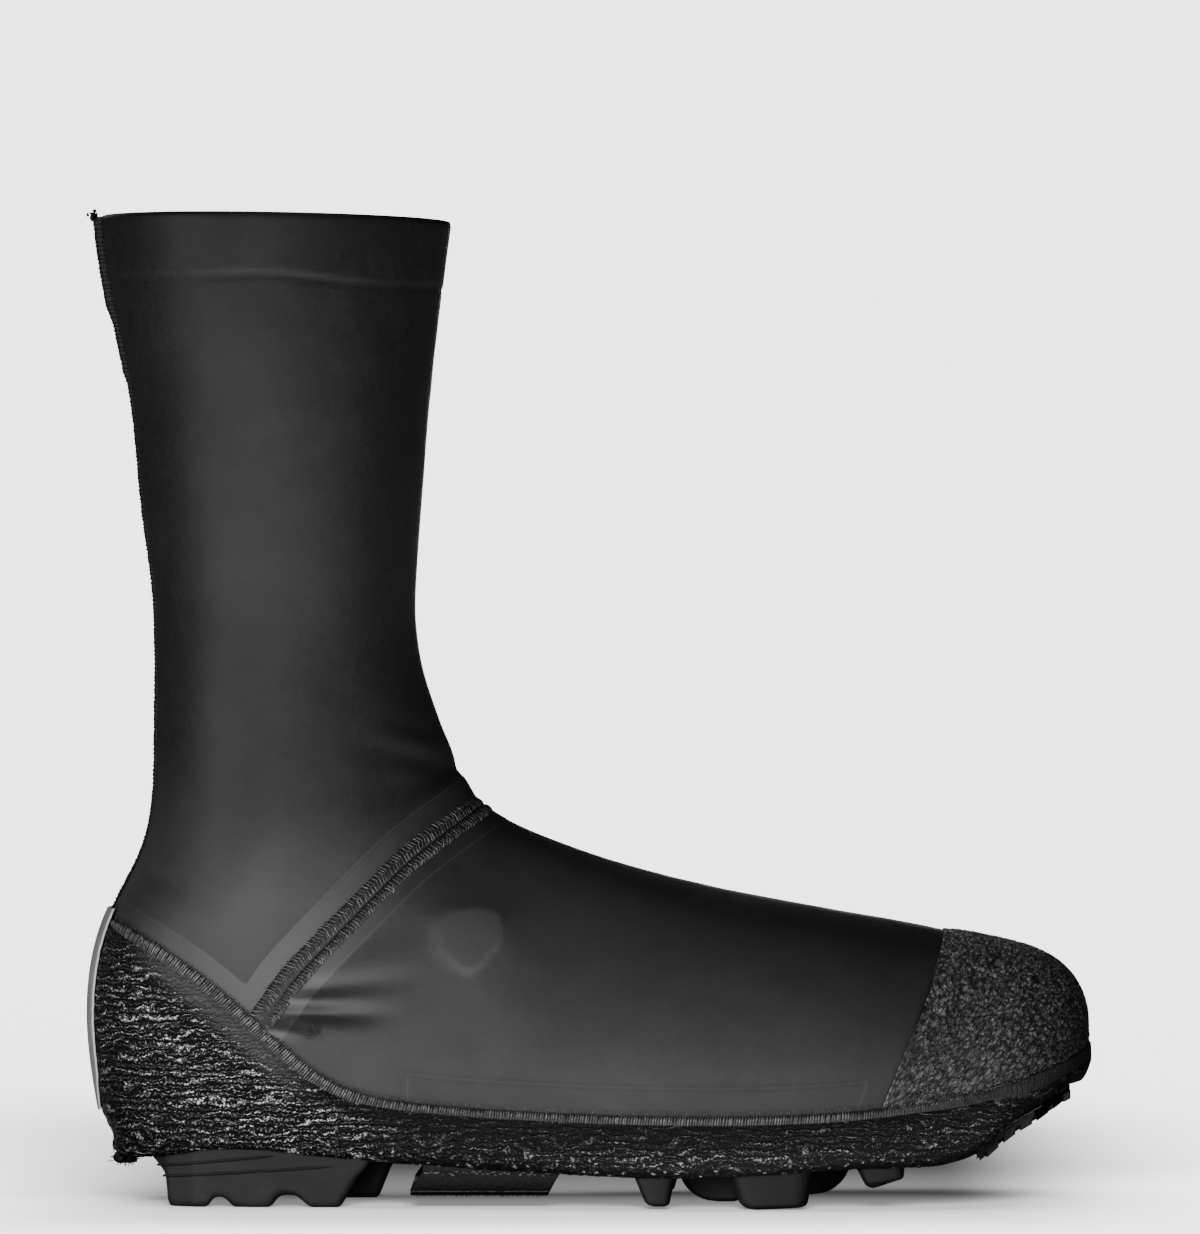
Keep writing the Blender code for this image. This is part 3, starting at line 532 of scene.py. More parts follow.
class SurfacePath:
    """A line on the form with its own directions: ahead, across to the left seen from outside, and out."""

    def __init__(self, points: Array, out: Array) -> None:
        """Keeps a line.

        Args:
            points: the line's points.
            out: the form's normals there.
        """
        self.points = points
        self.out = out
        self.far = run_length(points)
        self.length = float(self.far[-1])
        self.ahead = unit(np.gradient(points, axis=0))

    def mix(self, far: Array, values: Array) -> Array:
        """Interpolates vectors of the line at distances along it."""
        return np.stack([np.interp(far, self.far, values[:, axis]) for axis in range(3)], axis=-1)

    def at(self, far: Array) -> Array:
        """Points of the line at distances along it."""
        return self.mix(far, self.points)

    def directions(self, far: Array) -> tuple[Array, Array]:
        """Across and out directions at distances along the line."""
        out = unit(self.mix(far, self.out))
        return unit(np.cross(out, unit(self.mix(far, self.ahead)))), out

    def place(self, far: Array, across: Array, height: Amount) -> Array:
        """Points beside and above the line.

        Args:
            far: distances along the line.
            across: distances to its left.
            height: distances out of the form.

        Returns:
            The points.
        """
        far, across, height = np.broadcast_arrays(far, across, height)
        left, out = self.directions(far)
        return self.at(far) + left * across[..., None] + out * height[..., None]

    def even(self, step: float) -> Array:
        """Distances along the whole line in even steps."""
        return np.linspace(0.0, self.length, round(self.length / step) + 1)


class Seams:
    """The seam lines as paths on the form."""

    SAMPLES = 600
    BATCH = 20000

    def __init__(self, form: SockForm) -> None:
        """Works out all paths.

        Args:
            form: the sock's form.
        """
        self.form = form
        self.rand_line = RandLine(form)
        places = np.arange(len(ANKLE_LINE), dtype=float)
        spread = np.linspace(0.0, places[-1], self.SAMPLES)
        self.ankle_x = SmoothCurve(places, column(ANKLE_LINE, "x"))(spread)
        self.ankle_z = SmoothCurve(places, column(ANKLE_LINE, "z"))(spread)
        self.ankle_along, self.ankle_around = form.locate(self.ankle_x, self.ankle_z)
        self.cap_x = SmoothCurve(column(TOE_CAP_LINE, "z"), column(TOE_CAP_LINE, "x"))

    def split(self, around: Array) -> Array:
        """Distance along the sock of the ankle seam on each place around."""
        order = np.argsort(self.ankle_around)
        return np.interp(np.abs(around), self.ankle_around[order], self.ankle_along[order])

    def from_ankle(self, x: Array, z: Array) -> Array:
        """Signed distances from the ankle seam.

        Args:
            x: places along the shoe.
            z: heights.

        Returns:
            Distances in the side view, positive to the shaft.
        """
        flat_x = x.ravel()
        flat_z = z.ravel()
        result = np.empty(len(flat_x))
        run_x = np.gradient(self.ankle_x)
        run_z = np.gradient(self.ankle_z)
        size = np.hypot(run_x, run_z)
        for start in range(0, len(flat_x), self.BATCH):
            part = slice(start, start + self.BATCH)
            off_x = flat_x[part, None] - self.ankle_x
            off_z = flat_z[part, None] - self.ankle_z
            best = (off_x**2 + off_z**2).argmin(axis=1)
            rows = np.arange(len(best))
            cross = run_x[best] * off_z[rows, best] - run_z[best] * off_x[rows, best]
            result[part] = -cross / size[best]
        return result.reshape(x.shape)

    def path(self, along: Array, around: Array) -> SurfacePath:
        """A path through places on the form."""
        return SurfacePath(self.form.skin(along, around), self.form.outward(along, around))

    def round_path(self, along: Array, around: Array) -> SurfacePath:
        """A path that runs down the outer side, and back along the inner side in the same places.

        Args:
            along: distances along the sock.
            around: places on the loops, without their sign.

        Returns:
            The path.
        """
        whole_along = np.concatenate([along, along[::-1][1:]])
        return self.path(whole_along, np.concatenate([-around, around[::-1][1:]]))

    def rand_path(self) -> SurfacePath:
        """The rand's seam, from the back of the heel by the outer side round the toe and back.

        Returns:
            The path.
        """
        line = self.rand_line
        share = (1.0 - np.cos(np.linspace(0.0, math.pi, self.SAMPLES))) / 2.0
        along = line.heel + (line.toe - line.heel) * share
        place = line.place(along)
        place[0] = 1.0
        place[-1] = 0.0
        return self.round_path(along, place)

    def ankle_path(self) -> SurfacePath:
        """The ankle seam, from the rand on the outer side over the instep to the rand on the inner.

        Returns:
            The path.
        """
        shown = self.rand_line.above(self.ankle_x, self.ankle_z) > 0.0
        around = self.ankle_around[shown][::-1]
        around[-1] = 0.0
        return self.round_path(self.ankle_along[shown][::-1], around)

    def back_path(self, low_z: float) -> SurfacePath:
        """The centre-back seam, from a height up to the collar.

        Args:
            low_z: the height of its low end.

        Returns:
            The path.
        """
        form = self.form
        steps = np.linspace(form.heel_edge, form.length, form.STEPS)
        along = np.linspace(float(np.interp(low_z, form.back_z, steps)), form.length, self.SAMPLES)
        return self.path(along, np.full_like(along, -1.0))


Input = Union["Value", bpy.types.NodeSocket, float, Sequence[float]]


class Value:
    """A shader socket that takes part in Python expressions."""

    def __init__(self, bench: "Bench", socket: bpy.types.NodeSocket) -> None:
        """Wraps a socket of a bench's node tree."""
        self.bench = bench
        self.socket = socket

    def maths(self, operation: str, *others: Input) -> "Value":
        """Adds a Math node that starts from this value."""
        return self.bench.add("ShaderNodeMath", {"operation": operation}, dict(enumerate((self, *others))))

    def __add__(self, other: Input) -> "Value":
        """This value plus another."""
        return self.maths("ADD", other)

    __radd__ = __add__

    def __mul__(self, other: Input) -> "Value":
        """This value times another."""
        return self.maths("MULTIPLY", other)

    __rmul__ = __mul__

    def __sub__(self, other: Input) -> "Value":
        """This value minus another."""
        return self.maths("SUBTRACT", other)

    def __rsub__(self, other: float) -> "Value":
        """A number minus this value."""
        return self.maths("MULTIPLY_ADD", -1.0, other)

    def __truediv__(self, other: Input) -> "Value":
        """This value divided by another."""
        return self.maths("DIVIDE", other)

    def __abs__(self) -> "Value":
        """This value without its sign."""
        return self.maths("ABSOLUTE")

    def step(self, start: float, end: float) -> "Value":
        """A smooth step of this value from 0 at start to 1 at end."""
        inputs = {"Value": self, "From Min": start, "From Max": end, "To Min": 0.0, "To Max": 1.0}
        return self.bench.add("ShaderNodeMapRange", {"interpolation_type": "SMOOTHSTEP"}, inputs)


class Bench:
    """A material's node tree, and the one way to add nodes to it."""

    def __init__(self, name: str) -> None:
        """Starts a material with a Principled shader.

        Args:
            name: the name that it gets.
        """
        self.material = bpy.data.materials.new(name)
        self.material.use_nodes = True
        self.tree = self.material.node_tree
        self.shader = self.tree.nodes["Principled BSDF"]

    def add(self, kind: str, settings: dict[str, Any], inputs: dict[Any, Input], output: Any = 0) -> Value:
        """Adds a node.

        Args:
            kind: the node's type.
            settings: its properties, which are set first.
            inputs: values or links of its sockets by name or number.
            output: name or number of the socket that is returned.

        Returns:
            The output as a value.
        """
        node = self.tree.nodes.new(kind)
        for key, value in settings.items():
            setattr(node, key, value)
        for key, value in inputs.items():
            self.feed(node.inputs[key], value)
        return Value(self, node.outputs[output])

    def feed(self, socket: bpy.types.NodeSocket, value: Input) -> None:
        """Links a value to a socket or sets a constant on it.

        Args:
            socket: a node's input.
            value: a value to link, or a constant.
        """
        if isinstance(value, Value):
            self.tree.links.new(value.socket, socket)
        else:
            socket.default_value = value

    def set(self, **inputs: Input) -> None:
        """Feeds sockets of the Principled shader, with spaces written as underscores."""
        for key, value in inputs.items():
            self.feed(self.shader.inputs[key.replace("_", " ")], value)

    def attribute(self, name: str, output: str = "Fac") -> Value:
        """A value that the mesh carries."""
        return self.add("ShaderNodeAttribute", {"attribute_name": name}, {}, output)

    def place(self) -> Value:
        """The point on the object, in millimetres."""
        return self.scaled(self.add("ShaderNodeTexCoord", {}, {}, "Object"), (1.0 / MM, 1.0 / MM, 1.0 / MM))

    def scaled(self, vector: Value, scale: Sequence[float]) -> Value:
        """A vector with each axis scaled."""
        return self.add("ShaderNodeVectorMath", {"operation": "MULTIPLY"}, {0: vector, 1: scale})

    def noise(self, vector: Value, scale: float, detail: float = 2.0) -> Value:
        """Soft noise from 0 to 1."""
        inputs = {"Vector": vector, "Scale": scale, "Detail": detail, "Roughness": 0.55}
        return self.add("ShaderNodeTexNoise", {}, inputs)

    def cells(self, vector: Value, scale: float) -> Value:
        """Distances to the nearest seed of a broken cell pattern."""
        inputs = {"Vector": vector, "Scale": scale}
        return self.add("ShaderNodeTexVoronoi", {"feature": "F1"}, inputs, "Distance")

    def mix(self, share: Input, first: Input, second: Input) -> Value:
        """A colour between two colours."""
        inputs = {"Factor": share, 6: self.colour(first), 7: self.colour(second)}
        return self.add("ShaderNodeMix", {"data_type": "RGBA"}, inputs, 2)

    @staticmethod
    def colour(value: Input) -> Input:
        """A colour constant with its alpha, or a link as it is."""
        return value if isinstance(value, Value) else (*value, 1.0)

    def bump(self, *layers: tuple[Value, float]) -> Value:
        """Normals from layers of height.

        Args:
            layers: each a height of 0 to 1 and its full relief in millimetres, negative to sink.

        Returns:
            The bumped normal.
        """
        normal: Optional[Value] = None
        for height, relief in layers:
            inputs: dict[str, Input] = {"Height": height, "Distance": abs(relief) * MM, "Strength": 1.0}
            if normal is not None:
                inputs["Normal"] = normal
            normal = self.add("ShaderNodeBump", {"invert": relief < 0.0}, inputs)
        return normal


@dataclass(frozen=True)
class Finish:
    """A material that runs from a dark to a pale colour in its own pattern."""

    name: str
    dark: Colour
    pale: Colour
    roughness: float

    def material(self) -> Material:
        """Makes the material.

        Returns:
            The material.
        """
        bench = Bench(self.name)
        self.paint(bench)
        return bench.material

    def paint(self, bench: Bench) -> None:
        """Feeds the shader's sockets, in each finish its own way."""
        raise NotImplementedError


@dataclass(frozen=True)
class ShellFabric(Finish):
    """Coated knit that stretches: satin, finely grained, paler where it is taped, with painted light and
    shade.
    """

    name: str = "shell_fabric"
    dark: Colour = (0.010, 0.010, 0.0102)
    pale: Colour = (0.034, 0.034, 0.0345)
    roughness: float = 0.5
    # Colour of the tape, and of the painted light on the heel and the dial's top.
    tape_and_painted_light: Colour = (0.085, 0.085, 0.086)

    def paint(self, bench: Bench) -> None:
        """Mixes the coat's mottle, the tape and its pale edge line, and the painted light and shade that
        the mesh carries.

        Args:
            bench: the material's nodes.
        """
        place = bench.place()
        mottle = bench.noise(place, 0.05, 3.0)
        cloud = bench.noise(place, 0.5, 3.0)
        knit = bench.noise(place, 2.6, 2.0)
        inside = bench.attribute("tape_depth")
        tape_paleness_and_painted_highlight = bench.attribute("tape")
        line = (1.0 - abs(inside) * 2.2).maths("MAXIMUM", 0.0)
        # Share of that colour: the tape, its pale edge line, a painted highlight at the tape's low end, and
        # painted light on the heel and the dial's top.
        tape_and_painted_light = inside.step(-0.15, 0.15) * tape_paleness_and_painted_highlight + line * 0.22 + bench.attribute("stretch")
        # The mesh's 'pale' carries painted shade: the leg darker than the foot.
        share = (mottle - 0.5) * 0.7 + (cloud - 0.5) * 0.3 + bench.attribute("pale")
        bench.set(
            Base_Color=bench.mix(tape_and_painted_light, bench.mix(share, self.dark, self.pale), self.tape_and_painted_light),
            Roughness=self.roughness + (cloud - 0.5) * 0.14,
            Normal=bench.bump((cloud, 0.04), (knit, 0.04)),
            Specular_IOR_Level=0.35,
        )


@dataclass(frozen=True)
class CrackleRubber(Finish):
    """Rubber coat that has wrinkled: long broken crest lines on the heel, pebbles elsewhere."""

    name: str = "crackle_rubber"
    dark: Colour = (0.0032, 0.0032, 0.0033)
    # The pale colour is mostly painted glint on crests and pebble tops; it also gives the smooth band its
    # grey.
    pale: Colour = (0.62, 0.62, 0.622)
    roughness: float = 0.34
    specular: float = 0.05
    cell: tuple[float, float, float] = (0.42, 0.5, 0.66)
    relief: float = 0.7
    periods: tuple[float, float] = (2.7, 1.15)

    def paint(self, bench: Bench) -> None:
        """Mixes crest lines, pebbles, the smooth band and the pebbles' tops; the pale on crests and tops is
        painted glint.

        Args:
            bench: the material's nodes.
        """
        lay = bench.attribute("lay", "Vector")
        ridged = bench.attribute("ridged")
        broad, narrow = (self.crests(bench, lay, period) for period in self.periods)
        speck = bench.noise(bench.scaled(lay, (1.6, 1.6, 2.2)), 1.0, 3.0).step(0.46, 0.62) + 0.04
        broken = bench.noise(bench.scaled(lay, (0.2, 0.2, 0.5)), 1.0, 2.0).step(0.4, 0.6) + 0.08
        line = broad.step(0.7, 0.94) * broken + narrow.step(0.66, 0.96) * 0.3
        cells = bench.scaled(lay, self.cell)
        dome = (1.0 - bench.cells(cells, 1.0) * 1.25).maths("MAXIMUM", 0.0)
        pebble = dome * (bench.noise(cells, 0.5, 1.0) + 0.45)
        height = pebble + (broad * 0.55 + narrow * 0.45 - pebble) * ridged + speck * 0.12
        bright = pebble.step(0.55, 0.95)
        # Painted glints: pale colour on the crest lines and the pebbles' tops, broken by speckles, as
        # strong as the mesh says.
        painted_glint = (bright + (line - bright) * ridged) * speck * bench.attribute("gloss")
        painted_glint = painted_glint + ((narrow * 0.05 + 0.035) - painted_glint) * bench.attribute("smooth")
        # On the toe cap: painted glints on the pebbles' tops, in patches.
        pale_patches = bench.noise(bench.scaled(lay, (0.9, 1.4, 2.4)), 1.0, 3.0).step(0.4, 0.66)
        painted_glint = painted_glint + bench.attribute("worn") * (pale_patches * (narrow * 0.9 + 0.5) + 0.16)
        painted_glint = painted_glint.maths("MINIMUM", 1.0)
        bench.set(
            Base_Color=bench.mix(painted_glint, self.dark, self.pale),
            Roughness=self.roughness + (1.0 - painted_glint) * 0.14,
            Normal=bench.bump((height * bench.attribute("crackle"), self.relief)),
            Specular_IOR_Level=self.specular,
        )

    @staticmethod
    def crests(bench: Bench, lay: Value, period: float) -> Value:
        """Wavy parallel lines across the third axis.

        Args:
            bench: the material's nodes.
            lay: the point on the coat, in millimetres.
            period: how far apart the lines are.

        Returns:
            1 on a line and 0 midway between two.
        """
        across = bench.add("ShaderNodeSeparateXYZ", {}, {0: lay}, "Z")
        drift = bench.noise(bench.scaled(lay, (0.09, 0.09, 0.2)), 1.0, 1.0) - 0.5
        wiggle = bench.noise(bench.scaled(lay, (0.7, 0.7, 0.6)), 1.0, 2.0) - 0.5
        phase = across / period + drift * 3.2 + wiggle * (2.8 / period)
        return 1.0 - abs(phase.maths("FRACT") - 0.5) * 2.0


class Pattern(Enum):
    """What a layer is drawn with, by the detail of its noise."""

    PLAIN = 1.0
    FINE = 2.0
    RICH = 3.0
    CELLS = None


class Layer(NamedTuple):
    """A layer of a finish: its pattern and scale by axis, and its parts in the colour and the relief."""

    pattern: Pattern
    scale: Point
    share: float
    relief: float = 0.0

    def draw(self, bench: Bench, place: Value) -> Value:
        """Draws the layer.

        Args:
            bench: the material's nodes.
            place: the point on the object, in millimetres.

        Returns:
            The pattern's value.
        """
        point = bench.scaled(place, self.scale)
        if self.pattern is Pattern.CELLS:
            return bench.cells(point, 1.0)
        return bench.noise(point, 1.0, self.pattern.value)


@dataclass(frozen=True)
class LayeredFinish(Finish):
    """A finish of two layers, the first of which also makes its gloss uneven."""

    first: Layer
    second: Layer
    span: tuple[float, float]
    uneven: float
    specular: float = 0.5
    pale_patches: bool = False
    edge: Optional[Colour] = None
    edge_dull: float = 0.3

    def paint(self, bench: Bench) -> None:
        """Mixes both layers, and the bare edges and pale patches that the mesh tells of.

        Args:
            bench: the material's nodes.
        """
        place = bench.place()
        first = self.first.draw(bench, place)
        second = self.second.draw(bench, place)
        share = (first * self.first.share + second * self.second.share).step(*self.span)
        # Paleness that the mesh carries: the threads' own tone, with painted light on the rand's stitches
        # and painted glints on some edges.
        if self.pale_patches:
            share = share * bench.attribute("bright")
        colour = bench.mix(share, self.dark, self.pale)
        rough = self.roughness + (first - 0.5) * self.uneven
        if self.edge is not None:
            bare = bench.attribute("edge")
            colour = bench.mix(bare, colour, self.edge)
            rough = rough + bare * self.edge_dull
        layers = ((second, self.second.relief), (first, self.first.relief))
        normal = bench.bump(*(layer for layer in layers if layer[1]))
        bench.set(Base_Color=colour, Roughness=rough, Normal=normal, Specular_IOR_Level=self.specular)


# Black sewing thread with a soft twist, paler where its mesh says so.
SEAM_THREAD = LayeredFinish(
    "seam_thread", (0.007, 0.007, 0.0071), (0.19, 0.19, 0.191), 0.5,
    Layer(Pattern.FINE, (3.4, 3.4, 3.4), 0.5, 0.08), Layer(Pattern.FINE, (0.7, 0.7, 0.7), 0.8),
    span=(0.4, 0.95), uneven=0.25, specular=0.3, pale_patches=True,
)
# Rolled rubber edge: darker and smoother than the crackle, with fine ribs across it.
SMOOTH_BINDING = LayeredFinish(
    "smooth_binding", (0.004, 0.004, 0.0041), (0.013, 0.013, 0.0131), 0.55,
    Layer(Pattern.FINE, (1.6, 1.0, 0.25), 0.6, 0.5), Layer(Pattern.FINE, (0.3, 0.3, 0.3), 0.5, 0.5),
    span=(0.2, 0.95), uneven=0.2, specular=0.25,
)
# Grey reflective film with fine glass beads and bare white edges.
REFLECTIVE_FILM = LayeredFinish(
    "reflective_film", (0.20, 0.205, 0.21), (0.30, 0.305, 0.31), 0.42,
    Layer(Pattern.RICH, (0.12, 0.12, 0.12), 0.7), Layer(Pattern.PLAIN, (5.0, 5.0, 5.0), 0.4, 0.03),
    span=(0.2, 0.9), uneven=0.2, edge=(0.75, 0.75, 0.74),
)
# Moulded tread rubber and plastic, matt with a faint flow and dusty rubbed places.
FLOW = Layer(Pattern.RICH, (0.14, 0.14, 0.35), 0.8, 0.06)
PORES = Layer(Pattern.FINE, (3.0, 3.0, 3.0), 0.3, 0.03)
TREAD_RUBBER = LayeredFinish(
    "tread_rubber", (0.016, 0.016, 0.0165), (0.034, 0.034, 0.035), 0.6,
    FLOW, PORES, span=(0.3, 0.9), uneven=0.25,
)
PLATE_PLASTIC = LayeredFinish(
    "plate_plastic", (0.008, 0.008, 0.0085), (0.016, 0.016, 0.017), 0.45,
    FLOW, PORES, span=(0.3, 0.9), uneven=0.25,
)
# Hook-and-loop webbing: black, matt, with tufts and fine fibres.
FUZZY_WEBBING = LayeredFinish(
    "fuzzy_webbing", (0.002, 0.002, 0.002), (0.014, 0.014, 0.0145), 0.75,
    Layer(Pattern.FINE, (4.0, 4.0, 4.0), 0.9, 0.15), Layer(Pattern.CELLS, (1.1, 1.1, 1.1), -0.4, -0.35),
    span=(0.1, 0.8), uneven=0.3,
)
# Fabric-faced foam of the insole.
FOAM_FACE = LayeredFinish(
    "foam_face", (0.03, 0.03, 0.031), (0.07, 0.07, 0.072), 0.85,
    Layer(Pattern.RICH, (0.15, 0.15, 0.15), 0.6), Layer(Pattern.CELLS, (0.8, 0.8, 0.8), 0.6, 0.2),
    span=(0.2, 1.0), uneven=0.1,
)


def mesh_object(name: str, points: Array, faces: Sequence[Sequence[int]]) -> Object:
    """A smooth-shaded mesh object.

    Args:
        name: the piece's name.
        points: vertices in millimetres.
        faces: vertex numbers of each face.

    Returns:
        The object, linked to the scene.
    """
    data = bpy.data.meshes.new(name)
    data.from_pydata((np.asarray(points) * MM).tolist(), [], faces)
    data.shade_smooth()
    made = bpy.data.objects.new(name, data)
    bpy.context.scene.collection.objects.link(made)
    return made


def grid_faces(rows: int, columns: int) -> Array:
    """Quads of a grid of vertices.

    Args:
        rows: vertices one way.
        columns: vertices the other way.

    Returns:
        The quads' vertex numbers, row after row.
    """
    first = np.arange((rows - 1) * columns).reshape(rows - 1, columns)[:, :-1]
    return np.stack([first, first + 1, first + columns + 1, first + columns], axis=-1).reshape(-1, 4)


def grid_object(name: str, grid: Array, closed: bool = False) -> Object:
    """A mesh object from a grid of points.

    Args:
        name: the piece's name.
        grid: points, as rows by columns by 3.
        closed: whether the last column joins the first.

    Returns:
        The object.
    """
    if closed:
        grid = np.concatenate([grid, grid[:, :1]], axis=1)
    return mesh_object(name, grid.reshape(-1, 3), grid_faces(*grid.shape[:2]).tolist())


def tube_faces(first: int, shape: tuple[int, int, int]) -> list[list[int]]:
    """Faces of closed tubes whose points follow each other ring by ring.

    Args:
        first: number of the first point.
        shape: how many tubes there are, rings in a tube and points in a ring.

    Returns:
        Vertex numbers of the quads between the rings and of the caps.
    """
    ring = first + np.arange(math.prod(shape)).reshape(shape)
    after = np.roll(ring, -1, axis=2)
    quads = np.stack([ring[:, :-1], after[:, :-1], after[:, 1:], ring[:, 1:]], axis=-1)
    return [*quads.reshape(-1, 4).tolist(), *ring[:, 0, ::-1].tolist(), *ring[:, -1].tolist()]


def carry(piece: Object, **values: Amount) -> None:
    """Stores a number or a vector for each vertex of a piece.

    Args:
        piece: the mesh object.
        values: one number, or an array with a row for each vertex, by attribute name.
    """
    count = len(piece.data.vertices)
    for name, given in values.items():
        rows = np.asarray(given, np.float32)
        kind, key = ("FLOAT_VECTOR", "vector") if rows.ndim == 2 else ("FLOAT", "value")
        if rows.ndim == 0:
            rows = np.full(count, rows)
        piece.data.attributes.new(name, kind, "POINT").data.foreach_set(key, rows.ravel())


def weld(piece: Object, distance: float = 0.02) -> None:
    """Joins vertices that lie together, drops loose ones and turns the faces out.

    Args:
        piece: the mesh object.
        distance: how near vertices are joined.
    """
    mesh = bmesh.new()
    mesh.from_mesh(piece.data)
    bmesh.ops.remove_doubles(mesh, verts=mesh.verts, dist=distance * MM)
    bmesh.ops.dissolve_degenerate(mesh, edges=mesh.edges, dist=0.002 * MM)
    loose = [vertex for vertex in mesh.verts if not vertex.link_faces]
    bmesh.ops.delete(mesh, geom=loose, context="VERTS")
    bmesh.ops.recalc_face_normals(mesh, faces=mesh.faces)
    mesh.to_mesh(piece.data)
    mesh.free()


def thicken(piece: Object, wall: float, offset: float = -1.0) -> None:
    """Gives an open skin a wall.

    Args:
        piece: the mesh object.
        wall: how thick the wall is.
        offset: -1 to lay it on the inner side, 0 for both.
    """
    modifier = piece.modifiers.new("wall", "SOLIDIFY")
    modifier.thickness = wall * MM
    modifier.offset = offset


def dress(piece: Object, material: Material, slot: str, *nodes: str) -> None:
    """Finishes a piece and lets it stand for its solids.

    Args:
        piece: the piece.
        material: its finish.
        slot: the record's material slot.
        nodes: the solids that it stands for.
    """
    piece.data.materials.clear()
    piece.data.materials.append(material)
    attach(piece, BODY)
    if nodes:
        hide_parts(*nodes)
    LOG.info("%s: %d faces for %s", piece.name, len(piece.data.polygons), ", ".join(nodes) or slot)


class Threads:
    """Many short threads joined in one mesh."""

    def __init__(self, sides: int = 5) -> None:
        """Starts with no threads, of a number of faces around each.

        Args:
            sides: faces around a thread.
        """
        self.sides = sides
        self.points: list[Array] = []
        self.bright: list[Array] = []
        self.faces: list[list[int]] = []
        self.count = 0

    def add(self, paths: Array, out: Array, radius: Amount, bright: Amount = 1.0) -> None:
        """Adds threads of equal point counts.

        Args:
            paths: points, as threads by points by 3, or the points of one thread.
            out: one direction square to the threads, or one for each point.
            radius: one radius, or one for each point of a thread.
            bright: how pale the threads are, as one value or one for each thread and point.
        """
        paths = paths.reshape(-1, *paths.shape[-2:])
        threads, count, _ = paths.shape
        ahead = unit(np.gradient(paths, axis=1))
        side = unit(np.cross(ahead, out))
        up = np.cross(side, ahead)
        turn = np.linspace(0.0, 2.0 * math.pi, self.sides, endpoint=False)[:, None]
        radii = np.broadcast_to(radius, (threads, count))[..., None, None]
        ring = np.cos(turn) * side[..., None, :] + np.sin(turn) * up[..., None, :]
        self.points.append((paths[:, :, None, :] + ring * radii).reshape(-1, 3))
        self.bright.append(np.repeat(np.broadcast_to(bright, (threads, count)).ravel(), self.sides))
        self.faces += tube_faces(self.count, (threads, count, self.sides))
        self.count += threads * count * self.sides

    def sew(
        self,
        path: SurfacePath,
        far: Array,
        across: Array,
        height: Amount,
        radius: Amount,
        bright: Amount,
    ) -> None:
        """Adds threads that lie along a seam.

        Args:
            path: the seam's line.
            far: distances along it, as threads by points.
            across: distances to its left.
            height: distances out of the form.
            radius: as in add.
            bright: as in add.
        """
        self.add(path.place(far, across, height), path.directions(far)[1], radius, bright)

    def piece(self, name: str) -> Object:
        """The joined mesh.

        Args:
            name: the name that it gets.

        Returns:
            The mesh object.
        """
        made = mesh_object(name, np.concatenate(self.points), self.faces)
        carry(made, bright=np.concatenate(self.bright))
        return made


class Crease(NamedTuple):
    """A soft trough or ridge between two points of the side view; depth is negative for a trough."""

    start_x: float
    start_z: float
    end_x: float
    end_z: float
    half: float
    depth: float


CREASES = (
    Crease(-82.5, 63.2, -44.0, 67.2, 2.2, -1.3), Crease(-90.0, 56.3, -52.0, 56.2, 1.8, -3.3),
    Crease(-87.0, 60.0, -64.0, 61.0, 1.6, 0.9), Crease(-91.0, 54.0, -73.0, 50.8, 0.9, -1.3),
    Crease(-93.0, 51.4, -80.0, 51.0, 1.2, 1.1), Crease(-40.0, 126.6, -74.0, 136.6, 2.8, -0.9),
    Crease(-46.0, 137.4, -70.0, 143.4, 2.6, -0.4), Crease(-36.0, 127.4, -62.0, 118.0, 2.6, -0.9),
    Crease(-40.0, 121.5, -60.0, 112.0, 2.6, 0.4), Crease(-42.0, 132.6, -66.0, 138.4, 2.4, 0.4),
    Crease(-128.5, 96.4, -112.0, 90.0, 2.2, -0.7),
)


class Knot(NamedTuple):
    """A value at a place, from which others are interpolated."""

    at: float
    value: float


def between(knots: Sequence[Knot], at: Array, period: Optional[float] = None) -> Array:
    """Interpolates straight between knots, which may repeat with a period."""
    return np.interp(at, column(knots, "at"), column(knots, "value"), period=period)


# Distance of the lacing dial's edge from its middle in the side view, by angle.
DIAL_EDGE = (
    Knot(-90.0, 9.6), Knot(-60.0, 8.2), Knot(-32.0, 7.6), Knot(10.0, 10.2),
    Knot(40.0, 11.6), Knot(65.0, 10.4), Knot(95.0, 9.4), Knot(125.0, 10.2),
    Knot(148.0, 10.8), Knot(175.0, 9.0), Knot(212.0, 7.6), Knot(242.0, 8.4),
)
# How far the back seam's fin stands out, by height.
BACK_FIN = (
    Knot(84.0, 0.9), Knot(240.0, 1.0), Knot(243.0, 1.6),
    Knot(258.0, 1.7), Knot(262.0, 2.5), Knot(289.0, 2.7),
)


